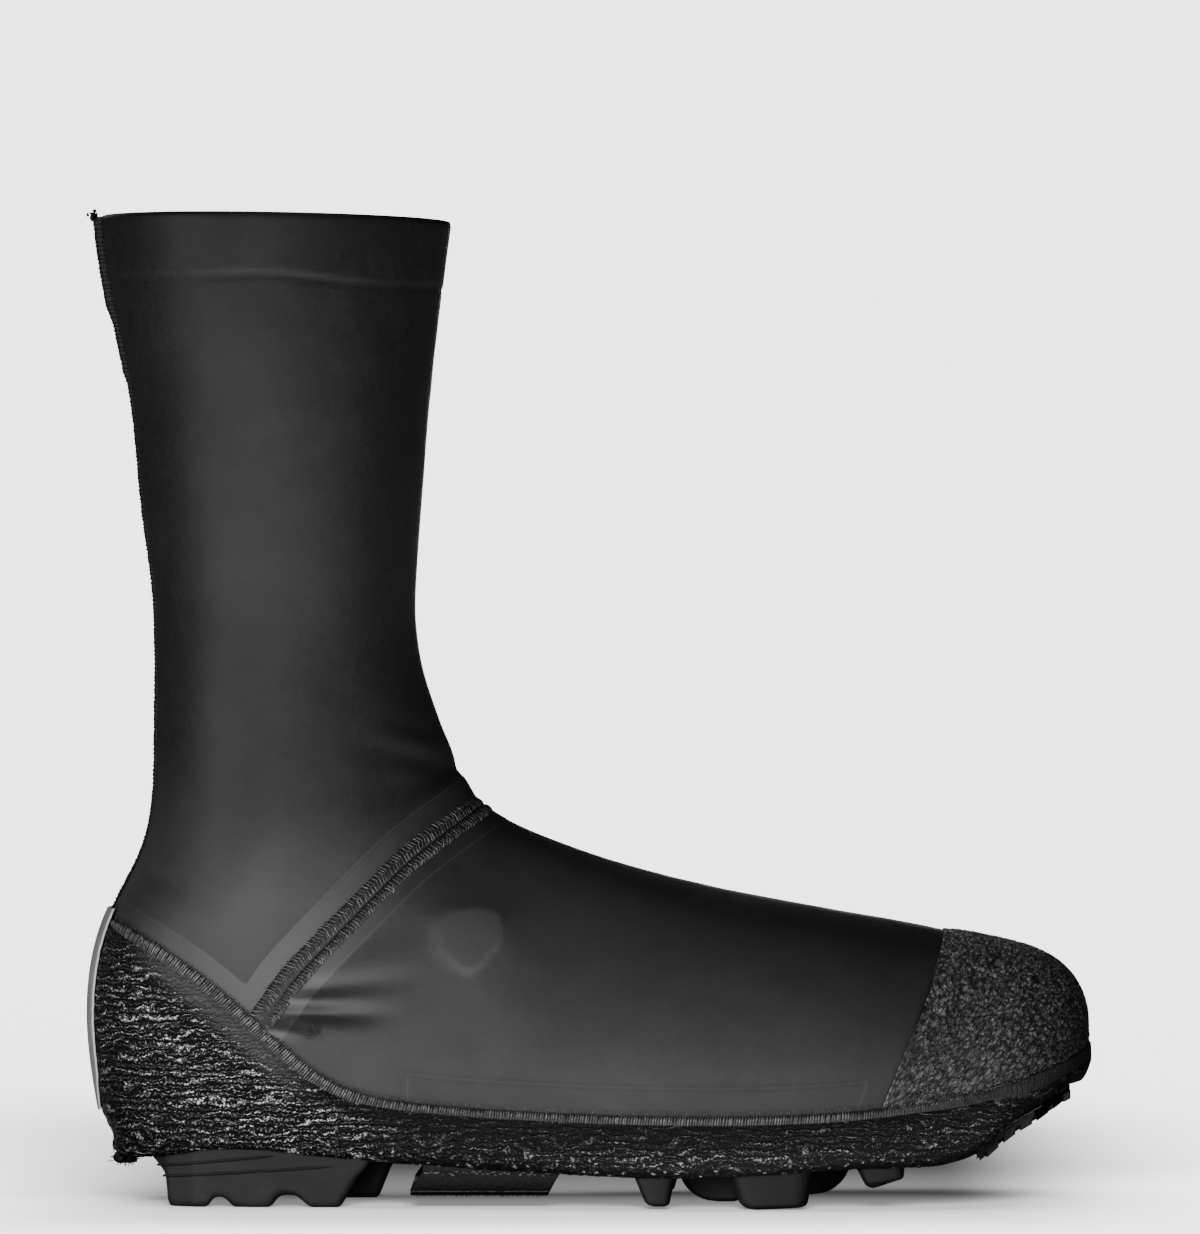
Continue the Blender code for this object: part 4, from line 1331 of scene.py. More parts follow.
@dataclass(frozen=True)
class DialBump:
    """The shoe's lacing dial, lifted through the shell on the outer side: a flat top on a soft skirt."""

    x: float = -34.6
    z: float = 77.2
    rise: float = 1.9
    rim: float = 0.45
    upright: float = 0.03
    run: float = 12.0
    soft: float = 0.6

    def past(self, x: Array, z: Array) -> Array:
        """How far points of the side view lie outside the dial's edge."""
        angle = np.degrees(np.arctan2(z - self.z, x - self.x))
        return np.hypot(x - self.x, z - self.z) - between(DIAL_EDGE, angle, 360.0)

    def top(self, x: Array, z: Array) -> Array:
        """1 on the dial's flat top, 0 past its rim."""
        left = np.clip((self.x - 3.0 - x) / 8.0, 0.0, 1.0)
        return 1.0 - ease(0.0, 1.0, (self.past(x, z) + 1.0) / (1.6 + 5.0 * left))

    def height(self, x: Array, z: Array) -> Array:
        """How far the shell is lifted at points of the side view.

        Args:
            x: places along the shoe.
            z: heights.

        Returns:
            One height a point.
        """
        past = self.past(x, z)
        past = (past + np.sqrt(past**2 + self.soft**2)) / 2.0
        run = self.run * (1.0 + 1.3 * ease(4.0, -8.0, z - self.z) + 0.5 * ease(0.0, -8.0, x - self.x))
        skirt = np.clip(1.0 - past / run, 0.0, 1.0) ** 2.2
        tilt = self.upright * np.clip(z - self.z, -11.0, 11.0)
        return (self.rise + tilt) * skirt + self.rim * self.top(x, z)


@dataclass
class Shell:
    """The stretched fabric sock: a foot panel and a leg panel, butted under the ankle seam."""

    seams: Seams
    wall: float = 1.5
    foot_rows: int = 205
    foot_columns: int = 226
    leg_rows: int = 200
    leg_columns: int = 192
    cuff_step: float = 0.16
    cuff_groove: float = 0.26
    cuff_wave: float = 1.3
    lip: float = 1.4
    tape_step: float = 0.14
    ankle_tape: tuple[float, float] = (-7.2, 10.2)
    heel_tape: float = 7.6
    side_tape: float = 9.6
    dial: DialBump = field(default_factory=DialBump)
    grain: Grain = field(default_factory=lambda: Grain(11))

    @staticmethod
    def creases(x: Array, z: Array) -> Array:
        """Relief of all the listed creases.

        Args:
            x: places along the shoe.
            z: heights.

        Returns:
            How far the shell is raised there.
        """
        total = np.zeros_like(x)
        for crease in CREASES:
            run = np.array([crease.end_x - crease.start_x, crease.end_z - crease.start_z])
            length = np.linalg.norm(run)
            run /= length
            off_x = x - crease.start_x
            off_z = z - crease.start_z
            share = (off_x * run[0] + off_z * run[1]) / length
            beside = off_z * run[0] - off_x * run[1]
            spread = crease.half * (1.0 + 0.7 * np.clip(share, 0.0, 1.0))
            amount = bell(beside / spread) * ease(-0.12, 0.08, share) * (1.0 - ease(0.15, 1.0, share))
            total += crease.depth * amount
        return total

    def tape(self, x: Array, z: Array) -> tuple[Array, Array]:
        """The tapes under the shell.

        Args:
            x: places along the shoe.
            z: heights.

        Returns:
            Distances inside the tape's edges, and how pale the tape is, with a painted highlight near its
            low end.
        """
        from_ankle = self.seams.from_ankle(x, z)
        above = self.seams.rand_line.above(x, z)
        low, high = self.ankle_tape
        depth = np.minimum(from_ankle - low, high - from_ankle)
        depth = np.maximum(depth, np.minimum(self.heel_tape - above, from_ankle))
        front = np.minimum(x + 52.5, 77.0 + (z - 28.0) * 0.35 - x)
        depth = np.maximum(depth, np.minimum(self.side_tape - above, front))
        # Faintly pale all along; round its low end a painted highlight makes the tape much paler.
        tape_paleness_and_painted_highlight = 0.05 + 0.6 * bell(np.hypot(x + 91.0, z - 66.0) / 28.0)
        tape_paleness_and_painted_highlight = tape_paleness_and_painted_highlight * np.where(from_ankle < 0.0, ease(-50.0, -68.0, x), 1.0)
        return np.clip(depth, -6.0, 6.0), tape_paleness_and_painted_highlight

    def relief(self, along: Array, around: Array) -> tuple[Array, Array, Array]:
        """Heights of the shell above the bare form.

        Args:
            along: distances along the sock.
            around: places around the loops.

        Returns:
            The heights, the distances inside the tape and how pale it is, with its painted highlight.
        """
        form = self.seams.form
        points = form.skin(along, around)
        x = points[..., 0]
        z = points[..., 2]
        tape, tape_paleness_and_painted_highlight = self.tape(x, z)
        turn = math.pi * around
        wave = self.cuff_wave * np.cos(2.0 * turn + 0.9) + 0.5 * np.sin(5.0 * turn)
        cuff = along - form.station("cuff_line") + wave
        height = self.cuff_step * ease(-0.4, 1.0, cuff) - self.cuff_groove * bell((cuff + 0.2) / 0.9)
        past = np.clip((along - form.length + self.lip) / self.lip, 0.0, 1.0)
        height -= 0.45 * past**2
        height += self.creases(x, z)
        height += self.dial.height(x, z) * (around < 0.0)
        height -= heel_cut(x, z)
        height += self.tape_step * ease(-0.6, 0.6, tape)
        height += 0.22 * self.grain.wave(points / 34.0) + 0.07 * self.grain.wave(points / 9.0)
        return height, tape, tape_paleness_and_painted_highlight

    def paleness_with_painted_shade(self, points: Array) -> Array:
        """How pale the coat is, from 0 to 1: painted shade darkens the leg; the foot is darker just above
        the rand.

        Args:
            points: points on the form.

        Returns:
            One share a point.
        """
        x, _, z = points.T
        low = (1.0 - ease(1.0, 14.0, self.seams.rand_line.above(x, z))) * ease(-62.0, -45.0, x)
        return 0.8 - 0.76 * ease(92.0, 130.0, z + 0.25 * (x + 90.0)) - 0.5 * low

    def painted_light_spots(self, points: Array) -> Array:
        """Painted light at points, from 0 to 1: pale patches on the heel and on the dial's flat top.

        Args:
            points: points on the form.

        Returns:
            One share a point.
        """
        x, y, z = points.T
        heel = np.hypot((x + 106.0) / 24.0, (z - 86.0) / 20.0)
        return 0.14 * bell(heel) + 0.2 * self.dial.top(x, z) * (y < 0.0)

    def panel(self, name: str, along: Array, around: Array) -> Object:
        """One panel of the shell.

        Args:
            name: the piece's name.
            along: grid of distances along the sock.
            around: grid of places around the loops.

        Returns:
            The piece.
        """
        height, tape, tape_paleness_and_painted_highlight = self.relief(along.ravel(), around.ravel())
        points = self.seams.form.surface(along.ravel(), around.ravel(), height)
        piece = grid_object(name, points.reshape(*along.shape, 3))
        carry(piece, tape_depth=tape, tape=tape_paleness_and_painted_highlight)
        # Painted light on the heel and the dial's top, and painted shade up the leg.
        carry(piece, stretch=self.painted_light_spots(points), pale=self.paleness_with_painted_shade(points))
        weld(piece)
        thicken(piece, self.wall)
        return piece

    def build(self, material: Material) -> None:
        """Makes and dresses both panels.

        Args:
            material: the finish.
        """
        even = ramp(self.foot_columns)
        around = np.interp(even, (0.0, 0.07, 0.93, 1.0), (-1.0, -0.8, 0.8, 1.0))
        split = self.seams.split(around)
        even = ramp(self.foot_rows)
        share = np.interp(even, (0.0, 0.1, 1.0), (0.0, 0.3, 1.0))[:, None]
        along = share * split
        foot = self.panel("shell_foot", along, np.broadcast_to(around, along.shape))
        around = np.linspace(-1.0, 1.0, self.leg_columns)
        split = self.seams.split(around)
        share = ramp(self.leg_rows)[:, None]
        along = split + share * (self.seams.form.length - split)
        leg = self.panel("shell_leg", along, np.broadcast_to(around, along.shape))
        for piece in (foot, leg):
            dress(piece, material, "shell_fabric", "upper")


@dataclass
class CrackleSkin:
    """Relief of the crackled rubber, in stretched lattice units that its finish shares."""

    seed: int
    coarse: float = 0.26
    fine: float = 0.16
    grain: Grain = field(init=False)

    def __post_init__(self) -> None:
        """Draws the grain."""
        self.grain = Grain(self.seed)

    def height(self, lay: Array) -> Array:
        """Heights at points in lattice units.

        Args:
            lay: points in lattice units.

        Returns:
            One height a point.
        """
        near, second = self.grain.cells(lay)
        crack = ease(0.03, 0.3, second - near)
        ridge = 1.0 - np.abs(self.grain.wave(lay * 0.42))
        return self.coarse * (ridge - 0.6) + self.fine * (crack - 0.6)

    def worn(self, lay: Array) -> Array:
        """How bright the painted glints on the pebbles' tops are, from 0 in the grooves to 1, in patches.

        Args:
            lay: points in lattice units.

        Returns:
            One share a point.
        """
        near, second = self.grain.cells(lay)
        patch = 0.5 + 0.5 * self.grain.wave(lay * 0.7)
        return ease(0.04, 0.36, second - near) * (0.4 + 0.6 * ease(0.15, 0.8, patch))


@dataclass
class Rand:
    """The rubber rand: the heel counter and the low wall round the foot."""

    seams: Seams
    cell: float = 0.7
    out: float = 1.15
    wall: float = 0.85
    lay_size: tuple[float, float, float] = (2.6, 2.6, 0.9)
    skin: CrackleSkin = field(default_factory=lambda: CrackleSkin(23))

    def columns(self) -> Array:
        """Distances along the sock with even steps on the rand's middle.

        Returns:
            The distances, from the toe on.
        """
        line = self.seams.rand_line
        along = np.linspace(0.0, line.heel, 1500)
        far = run_length(self.seams.form.skin(along, -(line.place(along) + 1.0) / 2.0))
        return np.interp(np.linspace(0.0, far[-1], round(far[-1] / self.cell) + 1), far, along)

    def rows(self, side: Side, along: Array) -> tuple[Array, Array, Array]:
        """One side's grid, with even steps down from the seam.

        Args:
            side: which side.
            along: the columns, as distances along the sock.

        Returns:
            Places around, distances below the seam, and distances above the hem.
        """
        place = self.seams.rand_line.place(along)[:, None]
        around = side.value * (place + ramp(120) * (1.0 - place))
        points = self.seams.form.skin(np.broadcast_to(along[:, None], around.shape), around)
        far = np.stack([run_length(row) for row in points])
        depth = far[:, -1:]
        below = np.minimum(np.arange(0.0, depth.max() + self.cell, self.cell), depth)
        placed = np.stack([np.interp(*row) for row in zip(below, far, around)])
        return np.where(below >= depth, float(side.value), placed), below, depth - below

    def half(self, side: Side, along: Array) -> tuple[Array, Array, dict[str, Array]]:
        """One side's skin.

        Args:
            side: which side.
            along: the columns, as distances along the sock.

        Returns:
            Its points, its quads and what its points carry.
        """
        form = self.seams.form
        around, below, to_hem = self.rows(side, along)
        spread = np.broadcast_to(along[:, None], around.shape).ravel()
        low = to_hem < 1e-6
        kept = ~(low[:-1, :-1] & low[1:, :-1])
        quads = grid_faces(*around.shape)[kept.ravel()][:, :: -side.value]
        around, below, to_hem = around.ravel(), below.ravel(), to_hem.ravel()
        bare = form.skin(spread, around)
        x, _, z = bare.T
        smooth = self.smooth(x, below)
        strength = (0.85 + 0.15 * ease(-50.0, -85.0, x)) * (1.0 - 0.35 * ease(96.0, 118.0, x))
        strength = strength * ease(0.5, 4.0, below) * (1.0 - 0.6 * smooth)
        height = self.out - 0.5 * (1.0 - ease(0.0, 3.0, below)) - 0.35 * (1.0 - ease(0.0, 1.2, to_hem))
        height = height + self.skin.height(bare / np.array(self.lay_size)) * strength - heel_cut(x, z)
        points = form.surface(spread, around, height)
        points += self.hem_shift(points, to_hem)
        carried = {"lay": bare, "crackle": strength, "smooth": smooth}
        carried["gloss"] = self.gloss(bare, below)
        carried["ridged"] = self.ridged(x, to_hem)
        return points, quads, carried

    @staticmethod
    def gloss(points: Array, below: Array) -> Array:
        """How bright the painted glints on the crests are: most on the heel's flank, least at its back and
        under the toe.

        Args:
            points: points on the form.
            below: distances below the seam.

        Returns:
            One share a point.
        """
        x, _, z = points.T
        heel = np.hypot((x + 101.0 + z - 36.0) / 22.0, (z - 36.0) / 28.0)
        side = 0.28 + 0.06 * ease(30.0, 80.0, x)
        flank = 0.24 * ease(-50.0, -85.0, x)
        low = 0.4 * ease(20.0, 13.0, z) * ease(75.0, 30.0, x)
        return (side + flank + low + 0.9 * bell(heel)) * (0.4 + 0.6 * ease(1.0, 9.0, below))

    @staticmethod
    def smooth(x: Array, below: Array) -> Array:
        """Where the coat has stayed smooth: a band under the seam on the heel's flank."""
        return 0.85 * (1.0 - ease(3.0, 10.0, below)) * ease(-136.0, -120.0, x) * ease(-76.0, -96.0, x)

    @staticmethod
    def ridged(x: Array, to_hem: Array) -> Array:
        """Share of crest lines in the relief: all on the heel, the upper part on the sides."""
        side = 0.1 + 0.65 * ease(3.0, 9.0, to_hem)
        return side + (1.0 - side) * ease(-50.0, -85.0, x)

    def hem_shift(self, points: Array, to_hem: Array) -> Array:
        """Draws the heel's low corner out to its sharp edge and makes the hem crumbly.

        Args:
            points: points on the form.
            to_hem: distances above the hem.

        Returns:
            A shift for each point.
        """
        corner = ease(20.0, 15.5, points[:, 2]) * ease(-122.0, -133.0, points[:, 0])
        crumb = (1.0 - ease(0.0, 1.3, to_hem)) * self.skin.grain.wave(points / 1.7)
        return np.stack([-2.6 * corner, 0.3 * crumb, 0.45 * crumb - 0.8 * corner], axis=1)

    def build(self, material: Material) -> Object:
        """Makes and dresses the rand.

        Args:
            material: the finish.

        Returns:
            The piece.
        """
        along = self.columns()
        points, quads, carried = self.half(Side.OUTER, along)
        inner_points, inner_quads, inner_carried = self.half(Side.INNER, along)
        quads = np.concatenate([quads, inner_quads + len(points)])
        piece = mesh_object("rand_skin", np.concatenate([points, inner_points]), quads.tolist())
        carry(piece, **{name: np.concatenate([carried[name], inner_carried[name]]) for name in carried})
        weld(piece)
        thicken(piece, self.wall)
        dress(piece, material, "rand_rubber", "rand")
        return piece


@dataclass
class ToeCap:
    """The crackled cap over the toe, thin at its rear edge."""

    seams: Seams
    rows: int = 130
    columns: int = 300
    out: float = 1.1
    edge_out: float = 0.45
    edge_run: float = 7.0
    long_cell: float = 3.4
    wide_cell: float = 1.8
    short_cell: float = 1.15
    wall: float = 0.25
    tilt: float = math.radians(47.0)
    skin: CrackleSkin = field(default_factory=lambda: CrackleSkin(37, 0.3, 0.42))

    def rear(self, around: Array) -> Array:
        """Distance along the sock of the cap's rear line on each place around.

        Args:
            around: places around the loops.

        Returns:
            One distance a place.
        """
        form = self.seams.form
        along = np.linspace(form.station("toe_tip"), form.station("ball"), 900)
        x, z, _ = form.side_view(along[:, None], around[None, :])
        behind = x < self.seams.cap_x(z)
        return along[np.argmax(behind, axis=0)]

    def front(self, around: Array) -> Array:
        """Distance along the sock where each place around leaves the rand's seam.

        Args:
            around: places around the loops.

        Returns:
            One distance a place.
        """
        line = self.seams.rand_line
        along = np.linspace(line.toe, self.seams.form.station("ball"), 900)
        place = np.maximum.accumulate(line.place(along))
        return np.interp(np.abs(around), place, along)

    def build(self, material: Material, thread: Material) -> Object:
        """Makes and dresses the cap and its worn edge.

        Args:
            material: the cap's finish.
            thread: finish of the worn edge.

        Returns:
            The cap.
        """
        form = self.seams.form
        wide = ramp(2000)
        reach = float(wide[np.argmax(self.front(wide) >= self.rear(wide))])
        around = np.linspace(-reach, reach, self.columns)
        front = self.front(around)
        rear = np.maximum(self.rear(around), front)
        along = front + ramp(self.rows)[:, None] * (rear - front)
        spread = np.broadcast_to(around, along.shape).ravel()
        to_rear = (rear - along).ravel()
        from_front = (along - front).ravel()
        x, y, z = form.skin(along.ravel(), spread).T
        long_way = x * math.cos(self.tilt) + z * math.sin(self.tilt)
        short_way = -x * math.sin(self.tilt) + z * math.cos(self.tilt)
        flat = np.stack([long_way, y, short_way], axis=1)
        lay = flat / np.array([self.long_cell, self.wide_cell, self.short_cell])
        strength = ease(0.0, 2.0, from_front) * (0.6 + 0.4 * ease(0.0, 4.0, to_rear))
        height = self.edge_out + (self.out - self.edge_out) * ease(0.0, self.edge_run, to_rear)
        height = height - 0.4 * (1.0 - ease(0.0, 2.5, from_front)) + self.skin.height(lay) * strength
        points = form.surface(along.ravel(), spread, np.maximum(height, 0.3))
        piece = grid_object("toe_cap_skin", points.reshape(*along.shape, 3))
        # Painted glints on the cap's pebbles: more towards the top, fewer at the front.
        shown = 0.17 + 0.29 * ease(42.0, 76.0, z) - 0.08 * ease(116.0, 142.0, x)
        worn = shown * self.skin.worn(lay) * (0.3 + 0.7 * strength)
        carry(piece, lay=flat, crackle=strength, gloss=0.12, worn=worn, ridged=0.6)
        weld(piece)
        thicken(piece, self.wall)
        dress(piece, material, "rand_rubber", "toe_cap")
        self.worn_edge(thread)
        return piece

    def worn_edge(self, thread: Material) -> None:
        """Lays the pale worn line on the cap's rear edge, brightest low down on each side.

        Args:
            thread: finish of the threads.
        """
        threads = Threads(4)
        z = np.linspace(29.5, 66.0, 90)
        along, around = self.seams.form.locate(self.seams.cap_x(z), z)
        bright = 2.0 * (1.0 - ease(30.0, 60.0, z)) * (0.6 + 0.4 * np.sin(z * 3.1))
        for side in Side:
            place = side.value * around
            out = self.seams.form.outward(along, place)
            threads.add(self.seams.form.surface(along, place, 0.5), out, 0.22, bright)
        dress(threads.piece("toe_cap_edge"), thread, "rand_rubber")


@dataclass
class RandSeam:
    """The rolled seam on the rand's top edge, with its ladder of stitches."""

    seams: Seams
    step: float = 0.8
    upper: float = 1.1
    lower: float = 1.2
    toe_lower: float = 9.5
    toe_curl: float = 0.034
    rise: float = 0.9
    toe_rise: float = 1.55
    foot: float = 0.35
    stitch_step: float = 0.78
    stitch_round: float = 0.27
    toe_stitch_step: float = 1.5
    grain: Grain = field(default_factory=lambda: Grain(5))

    @staticmethod
    def reach(path: SurfacePath, far: Array) -> Array:
        """How far the seam has turned into the toe's broad binding, from 0 to 1."""
        return ease(88.0, 136.0, path.at(far)[..., 0])

    @staticmethod
    def broad(path: SurfacePath, far: Array) -> Array:
        """How broad the seam is: 1 on the sides, more on the heel's flanks."""
        x = path.at(far)[..., 0]
        return 1.0 + 0.5 * ease(-56.0, -84.0, x) * ease(-144.0, -128.0, x)

    @staticmethod
    def bright(path: SurfacePath, far: Array) -> Array:
        """How pale the stitches are: most on the heel, least towards the toe.

        Args:
            path: the seam's line.
            far: distances along it.

        Returns:
            One share a distance.
        """
        x = path.at(far)[..., 0]
        side = 0.6 + 0.4 * ease(-40.0, -80.0, x)
        return side * (1.0 - 0.8 * ease(60.0, 100.0, x)) * (0.4 + 0.6 * ease(-143.0, -120.0, x))

    def build(self, thread: Material, binding: Material) -> None:
        """Makes and dresses the rolled edge and its stitches.

        Args:
            thread: finish of the stitches.
            binding: finish of the edge.
        """
        path = self.seams.rand_path()
        far = path.even(self.step)[:, None]
        toe = self.reach(path, far)
        thin = 0.5 + 0.5 * ease(0.0, 24.0, np.minimum(far, path.length - far))
        broad = self.broad(path, far)
        upper = self.upper * broad
        lower = (self.lower + (self.toe_lower - self.lower) * toe) * thin * broad
        rise = (self.rise + (self.toe_rise - self.rise) * toe) * thin
        turn = np.linspace(0.0, math.pi, 11)
        way = np.cos(turn)
        across = np.where(way >= 0.0, upper, lower) * way
        boxy = np.where(way > 0.0, 0.4, 0.75) + 0.25 * toe
        height = self.foot + (rise - self.foot) * np.sin(turn) ** boxy
        under = np.linspace(-1.0, 1.0, 5)[1:-1]
        under = np.where(under < 0.0, lower, upper) * under
        across = np.concatenate([across, under], axis=1)
        height = np.concatenate([height, np.full_like(under, 0.3)], axis=1)
        height = height - self.toe_curl * toe * np.minimum(across, 0.0) ** 2
        points = path.place(far, across, height)
        points[..., 2] += 0.12 * self.grain.wave(points / 2.2)
        piece = grid_object("rand_edge", points, True)
        weld(piece)
        dress(piece, binding, "seam_thread", "rand_seam")
        self.stitch(path, thread)

    def stitch(self, path: SurfacePath, thread: Material) -> None:
        """Sews the ladder over the edge, the loose zigzag above it and the row on the toe's binding.

        Args:
            path: the seam's line.
            thread: the thread's finish.
        """
        threads = Threads()
        draw = np.random.default_rng(3)
        far = np.arange(0.4, path.length - 0.4, self.stitch_step)
        far = far[self.reach(path, far) < 0.45][:, None]
        far = far + draw.uniform(-0.14, 0.14, far.shape)
        across = np.array([-1.3, -0.85, -0.2, 0.45, 1.0, 1.5])
        height = np.array([0.45, 0.7, 0.9, 1.0, 1.0, 0.75])
        thin = 0.6 + 0.4 * ease(0.0, 24.0, np.minimum(far, path.length - far))
        spread = far + across * 0.16
        lift = height * thin + draw.uniform(-0.1, 0.1, far.shape)
        taper = np.array([0.7, 1.0, 1.0, 1.0, 0.9, 0.6]) * self.stitch_round
        pale = self.bright(path, spread) * draw.uniform(0.5, 1.15, far.shape)
        # Painted light: each stitch is paler on its upper part and darker low on the bead.
        pale = pale * np.array([0.35, 0.5, 0.9, 1.5, 1.8, 1.5])
        threads.sew(path, spread, across * thin * self.broad(path, far), lift, taper, pale)
        zig = np.arange(1.0, path.length - 1.0, 0.4)
        zig = zig[self.reach(path, zig) < 0.02]
        for part in np.array_split(zig, 2):
            swing = 2.2 + 0.8 * np.sin(part * 2.0 * math.pi / 1.7)
            threads.sew(path, part, swing, 0.22, 0.09, 0.7)
        self.toe_row(threads, path, draw)
        dress(threads.piece("rand_stitches"), thread, "seam_thread", "rand_seam")

    @staticmethod
    def on_toe(path: SurfacePath, far: Array) -> Array:
        """Those of the distances along the seam that lie on the toe's binding."""
        x = path.at(far)[..., 0]
        return far[(x > 88.0) & (x < 127.0)]

    def toe_row(self, threads: Threads, path: SurfacePath, draw: np.random.Generator) -> None:
        """Sews the row of short stitches along the top of the toe's binding.

        Args:
            threads: what the stitches are added to.
            path: the seam's line.
            draw: the source of random numbers.
        """
        shown = self.on_toe(path, np.linspace(0.0, path.length, 900))
        far = self.on_toe(path, np.arange(shown.min(), shown.max(), self.toe_stitch_step))[:, None]
        far = far + draw.uniform(-0.2, 0.2, far.shape)
        run = np.array([0.0, 0.35, 0.7, 1.0])
        across = 0.7 + draw.uniform(-0.15, 0.15, far.shape) + run * 0.2
        lift = np.array([0.75, 1.25, 1.25, 0.75])
        threads.sew(path, far + run, across, lift, 0.2, draw.uniform(0.1, 0.8, far.shape))


@dataclass
class AnkleSeam:
    """The flat diagonal seam over the ankle, with two ladders of slanted stitches."""

    seams: Seams
    step: float = 0.7
    upper: float = 4.5
    lower: float = 3.3
    rise: float = 0.5
    pitch: float = 1.12
    stitch_round: float = 0.21

    @staticmethod
    def from_top(path: SurfacePath, far: Array) -> Array:
        """0 where the seam crosses the instep's ridge, 1 down the sides."""
        return ease(0.0, 16.0, np.abs(far - path.length / 2.0))

    @staticmethod
    def from_end(path: SurfacePath, far: Array) -> Array:
        """0 at the seam's low ends, where its stitches run together, 1 above them."""
        return ease(6.0, 20.0, np.minimum(far, path.length - far))

    def build(self, thread: Material, fabric: Material) -> None:
        """Makes and dresses the raised band and its stitches.

        Args:
            thread: finish of the stitches.
            fabric: finish of the band.
        """
        path = self.seams.ankle_path()
        far = path.even(self.step)[:, None]
        down = self.from_top(path, far)
        share = np.linspace(-1.0, 1.0, 23)
        across = np.where(share < 0.0, self.lower, self.upper) * share
        rise = self.rise * (0.3 + 0.7 * down) * quarter_round((1.0 - np.abs(share)) / 0.3)
        groove = 0.55 * (self.from_end(path, far) * down) * bell(across / 0.45)
        points = path.place(far, across, 0.12 + rise - groove)
        floor = path.place(far, across, 0.0)[:, ::-4]
        piece = grid_object("ankle_band", np.concatenate([points, floor], axis=1), True)
        carry(piece, tape_depth=-6.0)
        weld(piece)
        dress(piece, fabric, "seam_thread", "ankle_seam")
        self.stitch(path, thread)

    def stitch(self, path: SurfacePath, thread: Material) -> None:
        """Sews both ladders and the ribbed end of the tape beside them.

        Args:
            path: the seam's line.
            thread: the thread's finish.
        """
        threads = Threads()
        draw = np.random.default_rng(17)
        far = np.arange(0.8, path.length - 1.6, self.pitch)[:, None]
        down = self.from_top(path, far)
        loose = 2.4 - 1.4 * self.from_end(path, far)
        top = self.rise * (0.3 + 0.7 * down) + 0.16
        pale = 1.0 - 0.5 * (1.0 - down)
        taper = self.stitch_round * np.array([0.7, 1.0, 1.1, 1.0, 0.7])
        ladders = (
            (np.array([0.4, 0.9, 1.6, 2.3, 2.7]), 0.9, 1.0),
            (np.array([2.3, 2.8, 3.4, 4.2, 4.8]), -1.0, 1.0),
            (np.array([-0.4, -0.8, -1.5, -2.4, -3.5]), 0.8, 0.7),
            (np.array([-1.3, -1.8, -2.4, -2.9, -3.2]), -1.2, 0.9),
        )
        for across, lean, shown in ladders:
            steps = np.linspace(0.0, 1.0, len(across))
            lean_by = lean * (1.0 + draw.uniform(-0.45, 0.45, far.shape) * loose)
            spread = far + lean_by * steps + draw.uniform(-0.22, 0.22, far.shape) * loose
            past = np.abs(across) - np.where(across > 0.0, self.upper, self.lower) + 0.9
            hump = top + 0.16 * np.sin(math.pi * steps) - 0.6 * ease(0.0, 1.2, past)
            wide = across + draw.uniform(-0.16, 0.16, far.shape) * loose
            lift = hump + draw.uniform(-0.12, 0.12, far.shape)
            threads.sew(path, spread, wide, lift, taper, pale * shown * draw.uniform(0.3, 1.2, far.shape))
        self.ribs(threads, path)
        dress(threads.piece("ankle_stitches"), thread, "seam_thread", "ankle_seam")

    @staticmethod
    def ribs(threads: Threads, path: SurfacePath) -> None:
        """Lays the small ribbed patch where the tape ends, on the outer side.

        Args:
            threads: what the ribs are added to.
            path: the seam's line.
        """
        run = ramp(5)
        spread = np.linspace(6.1, 10.6, 9)[:, None] + run * 1.4
        lift = 0.22 + 0.12 * np.sin(math.pi * run)
        threads.sew(path, spread, -11.8 - run * 5.5, lift, 0.16, 0.25)


